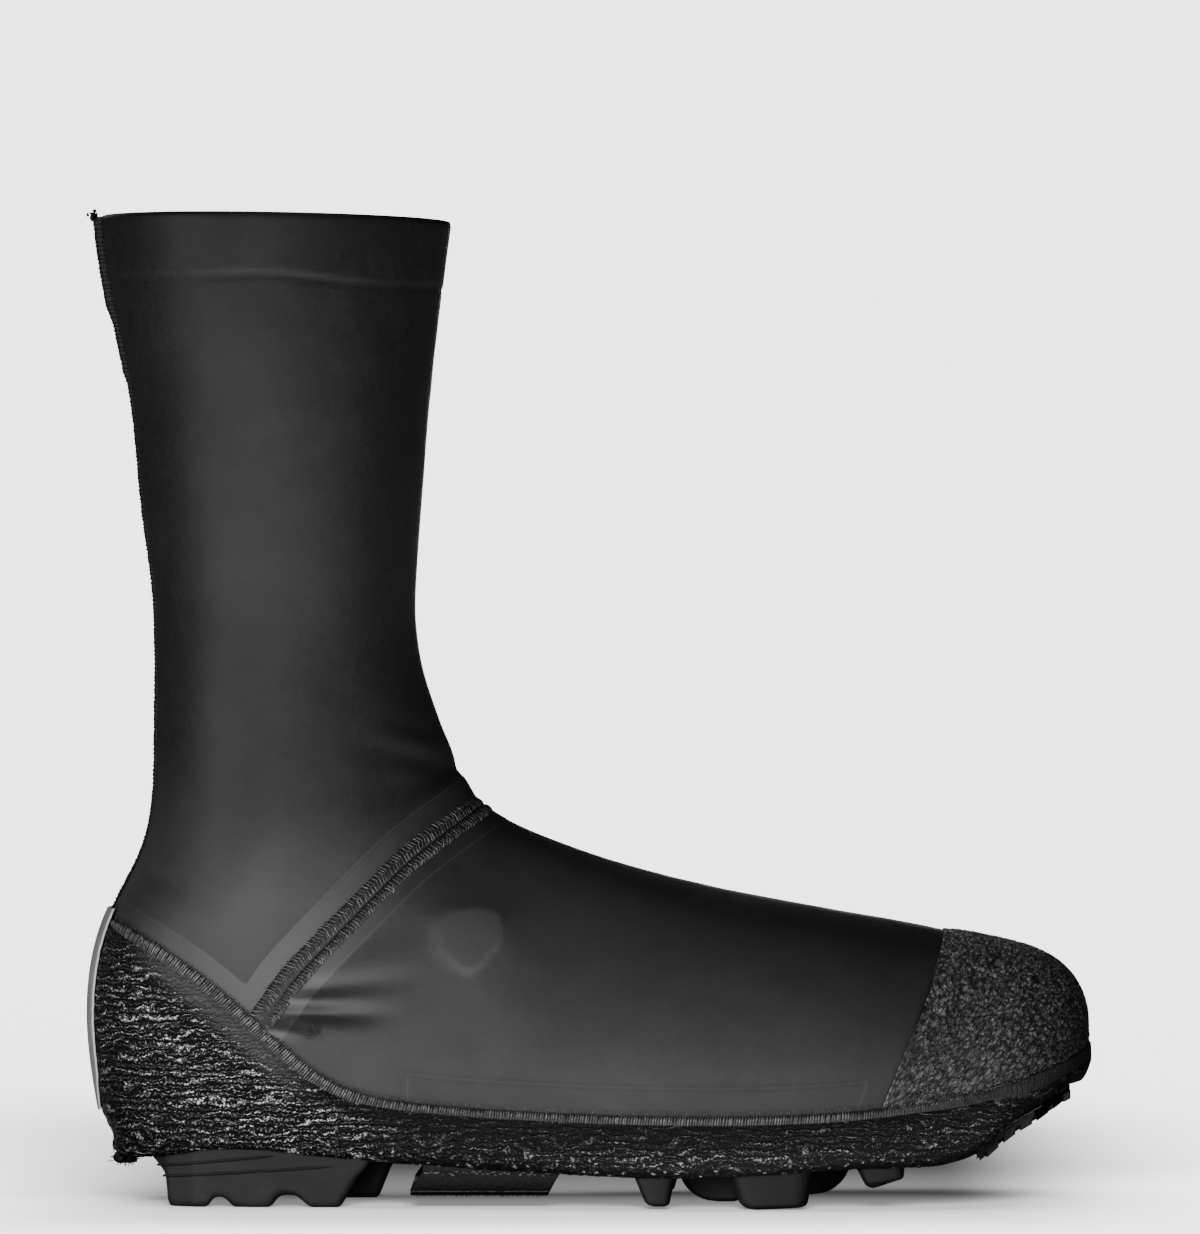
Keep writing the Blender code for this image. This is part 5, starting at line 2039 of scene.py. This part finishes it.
@dataclass
class BackSeam:
    """The raised centre-back seam, rough with stitches, with a frayed end at the collar."""

    seams: Seams
    step: float = 0.8
    half: float = 2.3
    sunk: float = 0.6
    pitch: float = 1.25
    low_z: float = 84.0
    loose_ends: int = 34
    grain: Grain = field(default_factory=lambda: Grain(8))

    def build(self, thread: Material, fabric: Material) -> None:
        """Makes and dresses the ridge, its stitches and the frayed end.

        Args:
            thread: finish of the stitches.
            fabric: finish of the ridge.
        """
        path = self.seams.back_path(self.low_z)
        far = path.even(self.step)[:, None]
        rise = between(BACK_FIN, path.at(far)[..., 2])
        turn = np.linspace(0.0, math.pi, 9)
        across = self.half * np.cos(turn) * (0.6 + 0.4 / rise)
        height = -self.sunk + (rise + self.sunk) * np.sin(turn) ** 1.2
        across = np.concatenate([across, np.zeros_like(far)], axis=1)
        height = np.concatenate([height, np.full_like(far, -self.sunk)], axis=1)
        points = path.place(far, across, height)
        points[..., 0] += 0.18 * self.grain.wave(points / 2.4)
        piece = grid_object("back_ridge", points, True)
        carry(piece, tape_depth=-6.0)
        weld(piece)
        dress(piece, fabric, "seam_thread", "back_seam")
        threads = Threads()
        draw = np.random.default_rng(6)
        far = np.arange(1.0, path.length - 1.5, self.pitch)[:, None]
        rise = between(BACK_FIN, path.at(far)[..., 2])
        across = np.array([-2.4, -1.6, -0.6, 0.6, 1.6, 2.4])
        share = np.array([0.1, 0.65, 1.0, 1.0, 0.65, 0.1])
        spread = far + across * 0.2 + draw.uniform(-0.2, 0.2, far.shape)
        threads.sew(path, spread, across, rise * share + draw.uniform(-0.16, 0.0, far.shape), 0.22, 0.1)
        self.fray(threads, path, draw)
        dress(threads.piece("back_stitches"), thread, "seam_thread", "back_seam")

    def fray(self, threads: Threads, path: SurfacePath, draw: np.random.Generator) -> None:
        """Knots short loose ends into a clump at the seam's top.

        Args:
            threads: what the loose ends are added to.
            path: the seam's line.
            draw: the source of random numbers.
        """
        end = np.array([path.length])
        across, out = path.directions(end)
        middle = path.at(end) + out * 2.2 + np.array([0.0, 0.0, 0.2])
        share = ramp(8)[:, None]
        for _ in range(self.loose_ends):
            start = middle + draw.normal(size=(1, 3)) * np.array([0.45, 0.7, 0.75])
            way = unit(draw.normal(size=(1, 3))) * draw.uniform(0.6, 1.3)
            bend = unit(draw.normal(size=(1, 3))) * draw.uniform(0.6, 1.2)
            threads.add(start + way * share + bend * np.sin(share * 2.6), across, 0.3, 0.12)


@dataclass
class HeelReflector:
    """The reflective strip up the back of the heel."""

    seams: Seams
    half: float = 12.0
    low_z: float = 27.4
    high_z: float = 85.4
    out: float = 2.0
    wall: float = 0.45
    edge: float = 0.55
    grain: Grain = field(default_factory=lambda: Grain(14))

    def build(self, material: Material) -> None:
        """Makes and dresses the strip.

        Args:
            material: the finish.
        """
        form = self.seams.form
        z = np.linspace(self.low_z, self.high_z, 90)[:, None]
        share = np.linspace(-1.0, 1.0, 41)[None, :]
        taper = 1.0 - 0.35 * (1.0 - ease(self.low_z, self.low_z + 14.0, z))
        wave = 0.35 * self.grain.wave(np.concatenate([z / 3.0, z * 0.0, z * 0.0], axis=1))[:, None]
        across = share * (self.half * taper + wave)
        bow = 1.0 - np.sqrt(1.0 - (across / form.half_width(z)) ** 2)
        x = np.interp(z, form.back_z, form.back_x) + form.back_round(z) * bow
        points = points_at(x, LEG_AXIS + across, z)
        normal = unit(np.cross(np.gradient(points, axis=0), np.gradient(points, axis=1)))
        normal *= np.sign(-normal[..., :1])
        lift = self.out - 0.25 * bell((1.0 - np.abs(share)) / 0.05)
        to_edge = (1.0 - np.abs(share)) * self.half
        bare = np.broadcast_to(1.0 - ease(self.edge * 0.6, self.edge, to_edge), across.shape)
        piece = grid_object("heel_film", points + normal * lift[..., None])
        carry(piece, edge=bare.ravel())
        weld(piece)
        thicken(piece, self.wall)
        dress(piece, material, "reflective_film", "heel_reflector")


def solid_box(name: str) -> tuple[Array, Array]:
    """The low and high corner of a solid's box, in millimetres."""
    low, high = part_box(name)
    return np.array(low) / MM, np.array(high) / MM


def squared(wave: Array, power: float) -> Array:
    """A sine or cosine that stays longer near its ends, for a round drawn out to a box."""
    return np.sign(wave) * np.abs(wave) ** power


@dataclass
class HeelTab:
    """The rolled end of the hem under the heel, with loose threads."""

    turns: int = 24
    boxy: float = 0.5
    hairs: int = 90
    shift: Point = (-0.3, 0.0, 0.9)
    tall: float = 1.4

    def build(self, material: Material) -> None:
        """Makes and dresses the roll and its threads.

        Args:
            material: the finish.
        """
        low, high = solid_box("heel_tab")
        middle = (low + high) / 2.0 + np.array(self.shift)
        size = (high - low) / 2.0 * np.array([1.0, 1.0, self.tall])
        across = np.linspace(-1.0, 1.0, 40)[:, None]
        turn = np.linspace(0.0, 2.0 * math.pi, self.turns + 1)[None, :]
        fat = np.sqrt(np.clip(1.0 - np.abs(across) ** 8, 0.05, 1.0))
        lump = 1.0 + 0.06 * np.sin(9.0 * across) + 0.05 * np.sin(5.0 * turn + 3.0 * across)
        x = middle[0] + size[0] * squared(np.cos(turn), self.boxy) * fat * lump
        z = middle[2] + size[2] * squared(np.sin(turn), self.boxy) * fat * lump
        y = middle[1] + size[1] * across
        piece = grid_object("heel_roll", points_at(x, y, z))
        carry(piece, bright=0.02)
        weld(piece)
        dress(piece, material, "seam_thread", "heel_tab")
        threads = Threads()
        draw = np.random.default_rng(9)
        share = ramp(6)[:, None]
        for _ in range(self.hairs):
            angle = draw.uniform(0.6, 2.0) * math.pi
            way = np.array([math.cos(angle), 0.0, math.sin(angle)])
            root = np.array([middle[0], draw.uniform(low[1], high[1]), middle[2]]) + way * size * 0.85
            run = way * draw.uniform(0.3, 1.0) + draw.normal(size=3) * 0.3
            curl = draw.normal(size=3) * 0.5
            threads.add(root + run * share + curl * share**2, (0.0, 1.0, 0.0), 0.13, 0.05)
        dress(threads.piece("heel_fray"), material, "seam_thread", "heel_tab")


@dataclass
class ArchStrap:
    """The fuzzy strap that hangs under the arch, cut on a slant, with a sewn top edge."""

    corner: float = 4.0
    thick: float = 1.5
    tuck: float = 4.2
    slant: float = 0.62
    slant_top: float = 10.8
    sewn_z: float = 10.3
    hairs: int = 3600

    def path(self, low: Array, high: Array) -> Array:
        """The strap's section across the shoe.

        Args:
            low: low corner of the solid's box.
            high: its high corner.

        Returns:
            Points of y and z, from the outer top round to the inner.
        """
        inset = self.thick / 2.0
        arc = np.linspace(0.0, math.pi / 2.0, 8)
        turn_y = self.corner * (1.0 - np.cos(arc))
        turn_z = low[2] + inset + self.corner * (1.0 - np.sin(arc))
        outer_y = low[1] + inset
        inner_y = high[1] - inset
        wall = np.linspace(high[2] + self.tuck, turn_z[0], 9)[:-1]
        floor = np.linspace(outer_y + self.corner, inner_y - self.corner, 40)[1:-1]
        outer = np.concatenate([np.full_like(wall, outer_y), outer_y + turn_y])
        inner = np.concatenate([inner_y - turn_y[::-1], np.full_like(wall, inner_y)])
        y = np.concatenate([outer, floor, inner])
        z = np.concatenate([wall, turn_z, np.full_like(floor, turn_z[-1]), turn_z[::-1], wall[::-1]])
        return np.stack([y, z], axis=1)

    def shear(self, z: Array) -> Array:
        """How far the slanted cut moves the strap back at heights."""
        return -self.slant * np.clip(self.slant_top - z, 0.0, 6.0)

    def build(self, webbing: Material, thread: Material) -> None:
        """Makes and dresses the webbing, its fuzz and its stitched edges.

        Args:
            webbing: finish of the strap.
            thread: finish of fuzz and stitches.
        """
        low, high = solid_box("arch_strap")
        section = self.path(low, high)
        y, z = section[:, :1], section[:, 1:]
        x = np.linspace(low[0] + 2.0, high[0], 36)
        piece = grid_object("strap_web", points_at(x + self.shear(z), y, z))
        thicken(piece, self.thick, 0.0)
        dress(piece, webbing, "strap_webbing", "arch_strap")
        dress(self.fuzz(section, x), thread, "strap_webbing", "arch_strap")
        faces = (section[0, 0] - self.thick / 2.0, section[-1, 0] + self.thick / 2.0)
        dress(self.edges(faces, x, low[2]), thread, "strap_webbing", "arch_strap")

    def fuzz(self, section: Array, x: Array) -> Object:
        """Short hairs all over the outside.

        Args:
            section: the strap's section.
            x: the strap's places along the shoe.

        Returns:
            The hairs.
        """
        draw = np.random.default_rng(21)
        far = run_length(section)
        at = draw.uniform(0.0, far[-1], self.hairs)
        y, z = (np.interp(at, far, values) for values in section.T)
        run_y, run_z = (np.interp(at, far, np.gradient(values)) for values in section.T)
        out = unit(np.stack([np.zeros(self.hairs), run_z, -run_y], axis=1))
        base = np.stack([draw.uniform(x[0] + 0.3, x[-1] - 0.3, self.hairs) + self.shear(z), y, z], axis=1)
        base = base + out * (self.thick / 2.0 - 0.1)
        lean = draw.normal(size=(self.hairs, 3)) * 0.35
        share = ramp(4)[:, None]
        length = draw.uniform(0.3, 0.6, (self.hairs, 1, 1))
        paths = base[:, None] + length * (out[:, None] * share + lean[:, None] * share**2)
        threads = Threads(3)
        bright = draw.uniform(0.0, 0.35, (self.hairs, 1)) ** 2
        threads.add(paths, unit(np.cross(out, lean))[:, None], 0.07, bright)
        return threads.piece("strap_fuzz")

    def edges(self, faces: tuple[float, float], x: Array, low_z: float) -> Object:
        """Sews the top edge on both sides and binds the low edge.

        Args:
            faces: y of the outer and the inner face.
            x: the strap's places along the shoe.
            low_z: height of its underside.

        Returns:
            The threads.
        """
        draw = np.random.default_rng(31)
        threads = Threads(4)
        far = np.arange(x[0] + 0.4, x[-1] - 0.6, 0.62)[:, None]
        run = ramp(5)
        rim_x = np.linspace(x[0], x[-1], 60)
        rim_z = low_z + 1.3
        for face, side in zip(faces, Side):
            out = (0.0, float(side.value), 0.0)
            along = far + run * 0.6 + draw.uniform(-0.12, 0.12, far.shape)
            up = self.sewn_z + draw.uniform(-0.5, 0.5, far.shape) + run * draw.uniform(-0.6, 0.6, far.shape)
            beside = face + side.value * (0.1 + 0.25 * np.sin(math.pi * run))
            line = points_at(along, beside, up)
            # The stitches' random paleness is partly the thread's own tone, partly painted glints.
            threads.add(line, out, 0.24, draw.uniform(0.3, 1.6, far.shape) ** 2)
            rim = (rim_x + self.shear(rim_z), face - side.value * 1.4, rim_z)
            threads.add(points_at(*rim), out, 0.2, 1.6)
        return threads.piece("strap_edges")


class LugRow(NamedTuple):
    """A lug's side view: root and foot along the shoe, the foot's heights, and how round its edges are."""

    name: str
    root_back: float
    root_front: float
    foot_back: float
    foot_front: float
    low_back: float
    low_front: float
    back_round: float
    front_round: float


LUGS = (
    LugRow("ball_lug_outer_back", 12.0, 25.4, 16.6, 23.2, 0.9, 0.9, 2.0, 1.2),
    LugRow("ball_lug_outer", 40.0, 65.4, 44.0, 63.0, 0.0, 0.6, 3.2, 1.8),
    LugRow("toe_lug_outer", 76.0, 91.5, 80.3, 91.0, 6.0, 8.6, 1.6, 1.2),
    LugRow("ball_lug_middle", 26.0, 47.0, 28.0, 45.0, 0.0, 0.0, 9.0, 2.0),
    LugRow("ball_lug_inner_back", 14.0, 28.0, 18.0, 25.0, 0.6, 0.6, 2.0, 2.0),
    LugRow("ball_lug_inner", 44.0, 79.0, 48.0, 75.0, 0.0, 0.0, 3.0, 8.0),
    LugRow("toe_lug_inner", 84.0, 98.0, 87.0, 97.0, 7.0, 9.6, 2.0, 2.0),
)


@dataclass
class Sole:
    """The lugged sole that the sock is stretched over, and its insole."""

    seams: Seams
    levels: int = 22
    lug_turns: int = 40
    corner: float = 0.32
    near: float = 0.005
    soft_side: float = 1.5
    heel_voxel: float = 0.8
    heel_round: int = 10
    grooves: tuple[tuple[float, float, float, float], ...] = (
        (-125.4, 11.9, -91.5, 15.0),
        (-123.6, 8.9, -74.6, 11.9),
    )
    tread_first: float = 115.5
    tread_pitch: float = 4.9
    tread_block: float = 3.4
    tread_base: float = 3.8
    tread_deep: float = 1.9
    tread_half: float = 19.0
    edge_half: float = 27.2

    def build(self, rubber: Material, plastic: Material, foam: Material, thread: Material) -> list[Object]:
        """Dresses the sole's solids and makes the rounded lugs and the fine tread.

        Args:
            rubber: finish of the tread.
            plastic: finish of the plate.
            foam: finish of the insole.
            thread: finish of the bright edge over the toe tread.

        Returns:
            The pieces that show under the hem.
        """
        shown = []
        finishes = {"sole_plate": plastic, "insole": foam, "toe_tread": plastic}
        for name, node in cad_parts.items():
            if name.startswith("heel_lug"):
                self.soften(node)
            if name.startswith("heel_lug") or name in finishes:
                node.data.materials.clear()
                node.data.materials.append(finishes.get(name, rubber))
                shown.append(node)
        for row in LUGS:
            piece = self.lug(row)
            dress(piece, rubber, "sole_rubber", row.name)
            shown.append(piece)
        shown.append(self.riser_lines(rubber))
        shown.append(self.tread_blocks(plastic))
        self.tread_edge(thread)
        return shown

    def soften(self, node: Object) -> None:
        """Rounds the edges of a heel lug.

        Args:
            node: the lug's solid.
        """
        even = node.modifiers.new("even", "REMESH")
        even.mode = "VOXEL"
        even.voxel_size = self.heel_voxel * MM
        even.use_smooth_shade = True
        soft = node.modifiers.new("soft", "SMOOTH")
        soft.factor = 0.5
        soft.iterations = self.heel_round

    def lug(self, row: LugRow) -> Object:
        """A lug with rounded foot and corners, in its solid's box.

        Args:
            row: its side view.

        Returns:
            The piece.
        """
        low, high = solid_box(row.name)
        share = ramp(self.levels)[:, None] ** 0.7
        turn = np.linspace(0.0, 2.0 * math.pi, self.lug_turns, endpoint=False)
        left_back = (1.0 - share) * (high[2] - row.low_back)
        left_front = (1.0 - share) * (high[2] - row.low_front)
        back = row.root_back + (row.foot_back - row.root_back) * share
        back += row.back_round * (1.0 - quarter_round(left_back / row.back_round))
        front = row.root_front + (row.foot_front - row.root_front) * share
        front -= row.front_round * (1.0 - quarter_round(left_front / row.front_round))
        inset = self.soft_side * (1.0 - quarter_round(left_front / self.soft_side))
        half_y = (high[1] - low[1]) / 2.0 - inset
        x = (back + front) / 2.0 + (front - back) / 2.0 * squared(np.cos(turn), self.corner)
        y = (high[1] + low[1]) / 2.0 + half_y * squared(np.sin(turn), self.corner)
        low_z = row.low_back + (row.low_front - row.low_back) * (x - back) / np.maximum(front - back, 0.1)
        top_z = self.seams.form.hem_z(x) + 1.5
        points = np.stack([x, y, top_z + (low_z - top_z) * share], axis=-1).reshape(-1, 3)
        piece = mesh_object(row.name + "_form", points, tube_faces(0, (1, self.levels, self.lug_turns)))
        weld(piece, self.near)
        return piece

    def face_y(self, x: Array) -> Array:
        """The heel lug's outer face at places along the shoe.

        Args:
            x: places along the shoe.

        Returns:
            The face's y at each place.
        """
        form = self.seams.form
        along = np.linspace(form.station("instep"), form.heel_edge, 300)
        hem = form.skin(along, np.full_like(along, -1.0))
        return np.interp(x, hem[::-1, 0], hem[::-1, 1])

    def riser_lines(self, rubber: Material) -> Object:
        """Moulded lines between the layers of the heel, on its outer side.

        Args:
            rubber: the finish.

        Returns:
            The piece.
        """
        threads = Threads(6)
        share = ramp(60)
        for start_x, start_z, end_x, end_z in self.grooves:
            x = start_x + (end_x - start_x) * share
            line = np.stack([x, self.face_y(x) + 0.02, start_z + (end_z - start_z) * share], axis=-1)
            threads.add(line, (0.0, -1.0, 0.0), 0.36 * np.minimum(1.0, 0.2 + 8.0 * (1.0 - share)))
        piece = threads.piece("heel_riser_lines")
        dress(piece, rubber, "sole_rubber")
        return piece

    def tread_blocks(self, rubber: Material) -> Object:
        """A second row of small tread blocks under the toe, set in the gaps of the first.

        Args:
            rubber: the finish.

        Returns:
            The piece.
        """
        gap = self.tread_pitch - self.tread_block
        count = 6
        back = self.tread_first + np.arange(count)[:, None, None] * self.tread_pitch - gap - 0.3
        x = back + np.array([0.0, 1.0, 1.0, 0.0]) * (gap + 0.6)
        y = np.array([[-self.tread_half], [self.tread_half]])
        drop = np.array([-0.4, -0.4, self.tread_deep, self.tread_deep])
        z = self.seams.form.hem_z(x) - self.tread_base - drop
        points = points_at(x, y, z).reshape(-1, 3)
        piece = mesh_object("toe_tread_inner", points, tube_faces(0, (count, 2, 4)))
        piece.data.shade_flat()
        weld(piece, self.near)
        dress(piece, rubber, "sole_rubber")
        return piece

    def tread_edge(self, thread: Material) -> None:
        """A thread along the top of the toe tread, pale in random speckles: painted glints along that edge.

        Args:
            thread: finish of the threads.
        """
        draw = np.random.default_rng(41)
        threads = Threads(4)
        x = np.linspace(114.5, 131.5, 60)
        z = self.seams.form.hem_z(x) - 1.9 + 0.12 * np.sin(x * 2.3)
        for side in Side:
            line = np.stack([x, np.full_like(x, side.value * self.edge_half), z], axis=-1)
            threads.add(line, (0.0, float(side.value), 0.0), 0.2, draw.uniform(0.1, 1.3, len(x)))
        dress(threads.piece("toe_tread_edge"), thread, "sole_rubber")


class Aim(Enum):
    """What a lamp lights."""

    GOODS = "all but the paper"
    PAPER = "the paper alone"
    RUBBER = "the crackled rubber alone"
    SOLE = "the lugged sole alone"
    UPPER = "all but the paper and the sole"


class Lamp(NamedTuple):
    """A soft light: where it stands, its target, size and power, and what it lights."""

    name: str
    place: Point
    target: Point
    size: tuple[float, float]
    power: float
    aim: Aim


LAMPS = (
    Lamp("front", (-520.0, -2500.0, 120.0), (0.0, 0.0, 110.0), (1500.0, 900.0), 11.0, Aim.GOODS),
    Lamp("left", (-2000.0, -1300.0, 200.0), (-60.0, 0.0, 120.0), (700.0, 900.0), 12.0, Aim.GOODS),
    Lamp("bounce", (-160.0, -330.0, 3.0), (-160.0, -330.0, 400.0), (760.0, 560.0), 4.8, Aim.UPPER),
    Lamp("overhead", (0.0, -500.0, 2500.0), (0.0, 0.0, 0.0), (2400.0, 2400.0), 8.0, Aim.GOODS),
    Lamp("behind", (-700.0, 2300.0, 1300.0), (0.0, 0.0, 110.0), (1800.0, 1200.0), 6.0, Aim.GOODS),
    Lamp("back", (0.0, 2500.0, 140.0), (0.0, 0.0, 110.0), (800.0, 800.0), 12.0, Aim.GOODS),
    Lamp("back_bounce", (-20.0, 330.0, 3.0), (-20.0, 330.0, 400.0), (300.0, 560.0), 3.0, Aim.UPPER),
    Lamp("back_rake", (-900.0, 1700.0, 1100.0), (0.0, 0.0, 40.0), (420.0, 420.0), 5.0, Aim.RUBBER),
    Lamp("back_low", (-420.0, 900.0, 110.0), (-60.0, 0.0, 6.0), (800.0, 180.0), 1.6, Aim.SOLE),
    Lamp("rake", (-900.0, -1700.0, 1100.0), (0.0, 0.0, 40.0), (420.0, 420.0), 24.0, Aim.RUBBER),
    Lamp("low", (-420.0, -900.0, 110.0), (-60.0, 0.0, 6.0), (800.0, 180.0), 3.4, Aim.SOLE),
    Lamp("paper_front", (0.0, -2500.0, 1150.0), (0.0, 0.0, 0.0), (1300.0, 900.0), 230.0, Aim.PAPER),
    Lamp("paper_top", (0.0, 450.0, 1500.0), (0.0, 100.0, 0.0), (2200.0, 2200.0), 105.0, Aim.PAPER),
)


@dataclass
class Studio:
    """A pale seamless floor in a round sweep, soft light and the photograph's camera."""

    camera_x: float = 3.2
    camera_z: float = 171.1
    camera_far: float = 2500.0
    focal_pixels: float = 8518.0
    frame_pixels: float = 1234.0
    sensor: float = 36.0
    floor_reach: float = 4200.0
    sweep_round: float = 1400.0
    sweep_top: float = 5200.0
    floor_turns: int = 320
    floor_rings: int = 130
    floor_colour: Colour = (0.8, 0.8, 0.8)
    floor_light: float = 3.5
    lamp_parts: int = 6
    air: float = 0.02

    def build(self, rubber: Sequence[Object], sole: Sequence[Object]) -> None:
        """Makes camera, floor and lights.

        Args:
            rubber: the crackled pieces, which a raking light shows.
            sole: the pieces under the hem, which a low light shows.
        """
        self.camera()
        floor = self.floor()
        shown = {Aim.PAPER: (floor,), Aim.RUBBER: rubber, Aim.SOLE: sole}
        left_out = {Aim.GOODS: (floor,), Aim.UPPER: (floor, *sole)}
        lit = {aim: bpy.data.collections.new("lit_" + aim.name.lower()) for aim in Aim}
        for aim, pieces in (shown | left_out).items():
            for piece in pieces:
                lit[aim].objects.link(piece)
        for aim in left_out:
            for linked in lit[aim].collection_objects:
                linked.light_linking.link_state = "EXCLUDE"
        for lamp in LAMPS:
            self.light(lamp, lit[lamp.aim])
        world = bpy.data.worlds.new("studio_air")
        world.use_nodes = True
        air = world.node_tree.nodes["Background"]
        air.inputs["Color"].default_value = (0.95, 0.97, 1.0, 1.0)
        air.inputs["Strength"].default_value = self.air
        bpy.context.scene.world = world

    def camera(self) -> None:
        """Places the level camera."""
        data = bpy.data.cameras.new("camera")
        data.sensor_width = self.sensor
        data.lens = self.focal_pixels * self.sensor / self.frame_pixels
        data.clip_end = 50.0
        made = bpy.data.objects.new("camera", data)
        made.location = Vector((self.camera_x, -self.camera_far, self.camera_z)) * MM
        made.rotation_euler = (math.pi / 2.0, 0.0, 0.0)
        bpy.context.scene.collection.objects.link(made)
        bpy.context.scene.camera = made

    def floor(self) -> Object:
        """Makes the floor, which sweeps up into a round wall.

        Returns:
            The floor.
        """
        arc = np.linspace(0.0, math.pi / 2.0, 20)
        level = np.sinh(np.linspace(0.0, 5.0, self.floor_rings)) / math.sinh(5.0) * self.floor_reach
        reach = np.concatenate([level[:-1], self.floor_reach + self.sweep_round * np.sin(arc)])
        rise = np.concatenate([np.zeros(len(level) - 1), self.sweep_round * (1.0 - np.cos(arc))])
        reach = np.append(reach, reach[-1])[:, None]
        rise = np.append(rise, self.sweep_top)[:, None]
        turn = np.linspace(0.0, 2.0 * math.pi, self.floor_turns + 1)[None, :]
        grid = points_at(reach * np.cos(turn), reach * np.sin(turn), rise)
        lean = np.append(np.concatenate([np.zeros(len(level) - 1), arc]), math.pi / 2.0)[:, None]
        inward = -np.sin(lean)
        normal = (inward * np.cos(turn), inward * np.sin(turn), np.cos(lean))
        normal = points_at(*normal)
        piece = grid_object("studio_floor", grid)
        shade = self.shade(grid).ravel()
        glow = np.maximum(self.floor_light - self.lamp_light(grid, normal).ravel(), 0.0)
        carry(piece, glow=glow * shade, shade=shade)
        weld(piece)
        if piece.data.polygons[0].normal.z < 0.0:
            piece.data.flip_normals()
        bench = Bench("studio_paper")
        bench.set(
            Base_Color=bench.mix(bench.attribute("shade"), (0.0, 0.0, 0.0), self.floor_colour),
            Roughness=0.9,
            Specular_IOR_Level=0.0,
            Emission_Color=bench.attribute("glow"),
            Emission_Strength=1.0,
        )
        piece.data.materials.append(bench.material)
        piece.visible_glossy = False
        piece.visible_diffuse = False
        return piece

    @staticmethod
    def shade(grid: Array) -> Array:
        """The soft shade round the shoe, as the share of light that is left on the paper.

        Args:
            grid: the floor's points.

        Returns:
            One share a point.
        """
        x = grid[..., 0]
        y = grid[..., 1]
        back = np.maximum(y, 0.0)
        far_left = np.maximum(0.3 * back - 112.0 - x, 0.0) / (54.0 + 0.35 * back)
        wide = 42.0 + 26.0 * ease(40.0, 180.0, y)
        far_right = np.maximum(x - 105.0, 0.0) / wide
        sides = np.exp(-(far_left**2) - far_right**2)
        front = 0.5 * np.exp(-((np.maximum(-72.0 - y, 0.0) / 42.0) ** 2))
        under = ease(-14.0, 36.0, y)
        behind = np.exp(-((np.maximum(y - 300.0, 0.0) / 190.0) ** 2))
        deep = 0.88 + 0.09 * ease(40.0, 180.0, y)
        return 1.0 - deep * sides * (front + (1.0 - front) * under) * behind

    def lamp_light(self, grid: Array, normal: Array) -> Array:
        """Light that the floor sends back from the paper's own lamps, before any shadow.

        Args:
            grid: the floor's points.
            normal: its normals.

        Returns:
            The light of each point.
        """
        total = np.zeros(grid.shape[:-1])
        spots = (np.arange(self.lamp_parts) + 0.5) / self.lamp_parts - 0.5
        for lamp in LAMPS:
            if lamp.aim is not Aim.PAPER:
                continue
            turn = (Vector(lamp.target) - Vector(lamp.place)).to_track_quat("-Z", "Y").to_matrix()
            ahead = -np.array(turn.col[2])
            for across in spots:
                for up in spots:
                    shift = Vector((across * lamp.size[0], up * lamp.size[1], 0.0))
                    to_lamp = np.array(Vector(lamp.place) + turn @ shift) - grid
                    far = np.linalg.norm(to_lamp, axis=-1)
                    leaving = np.maximum(-(to_lamp * ahead).sum(axis=-1) / far, 0.0)
                    landing = np.maximum((to_lamp * normal).sum(axis=-1) / far, 0.0)
                    share = lamp.power / math.pi / self.lamp_parts**2
                    total += share * leaving * landing / (far * MM) ** 2
        return total * self.floor_colour[0] / math.pi

    @staticmethod
    def light(lamp: Lamp, receivers: bpy.types.Collection) -> None:
        """Adds a soft light.

        Args:
            lamp: where it stands, what it is turned to, and its size and power.
            receivers: what it lights.
        """
        data = bpy.data.lights.new(lamp.name, "AREA")
        data.shape = "RECTANGLE"
        data.size = lamp.size[0] * MM
        data.size_y = lamp.size[1] * MM
        data.energy = lamp.power
        made = bpy.data.objects.new(lamp.name, data)
        made.location = Vector(lamp.place) * MM
        made.rotation_mode = "QUATERNION"
        made.rotation_quaternion = (Vector(lamp.target) - Vector(lamp.place)).to_track_quat("-Z", "Y")
        made.visible_camera = False
        made.light_linking.receiver_collection = receivers
        bpy.context.scene.collection.objects.link(made)


def main() -> None:
    """Builds the studio and every piece of the overshoe."""
    logging.basicConfig(level=logging.INFO, format="%(name)s: %(message)s")
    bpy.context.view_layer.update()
    seams = Seams(SockForm())
    fabric = ShellFabric().material()
    crackle = CrackleRubber().material()
    pebbled = CrackleRubber(
        "pebbled_rubber", specular=0.3, cell=(0.34, 0.5, 0.9), relief=0.5, periods=(1.9, 1.0)
    ).material()
    thread = SEAM_THREAD.material()
    Shell(seams).build(fabric)
    rubber = [Rand(seams).build(crackle), ToeCap(seams).build(pebbled, thread)]
    RandSeam(seams).build(thread, SMOOTH_BINDING.material())
    AnkleSeam(seams).build(thread, fabric)
    BackSeam(seams).build(thread, fabric)
    HeelReflector(seams).build(REFLECTIVE_FILM.material())
    HeelTab().build(thread)
    ArchStrap().build(FUZZY_WEBBING.material(), thread)
    tread, plate, foam = (finish.material() for finish in (TREAD_RUBBER, PLATE_PLASTIC, FOAM_FACE))
    sole = Sole(seams).build(tread, plate, foam, thread)
    Studio().build(rubber, sole)


if __name__ == "__main__":
    main()
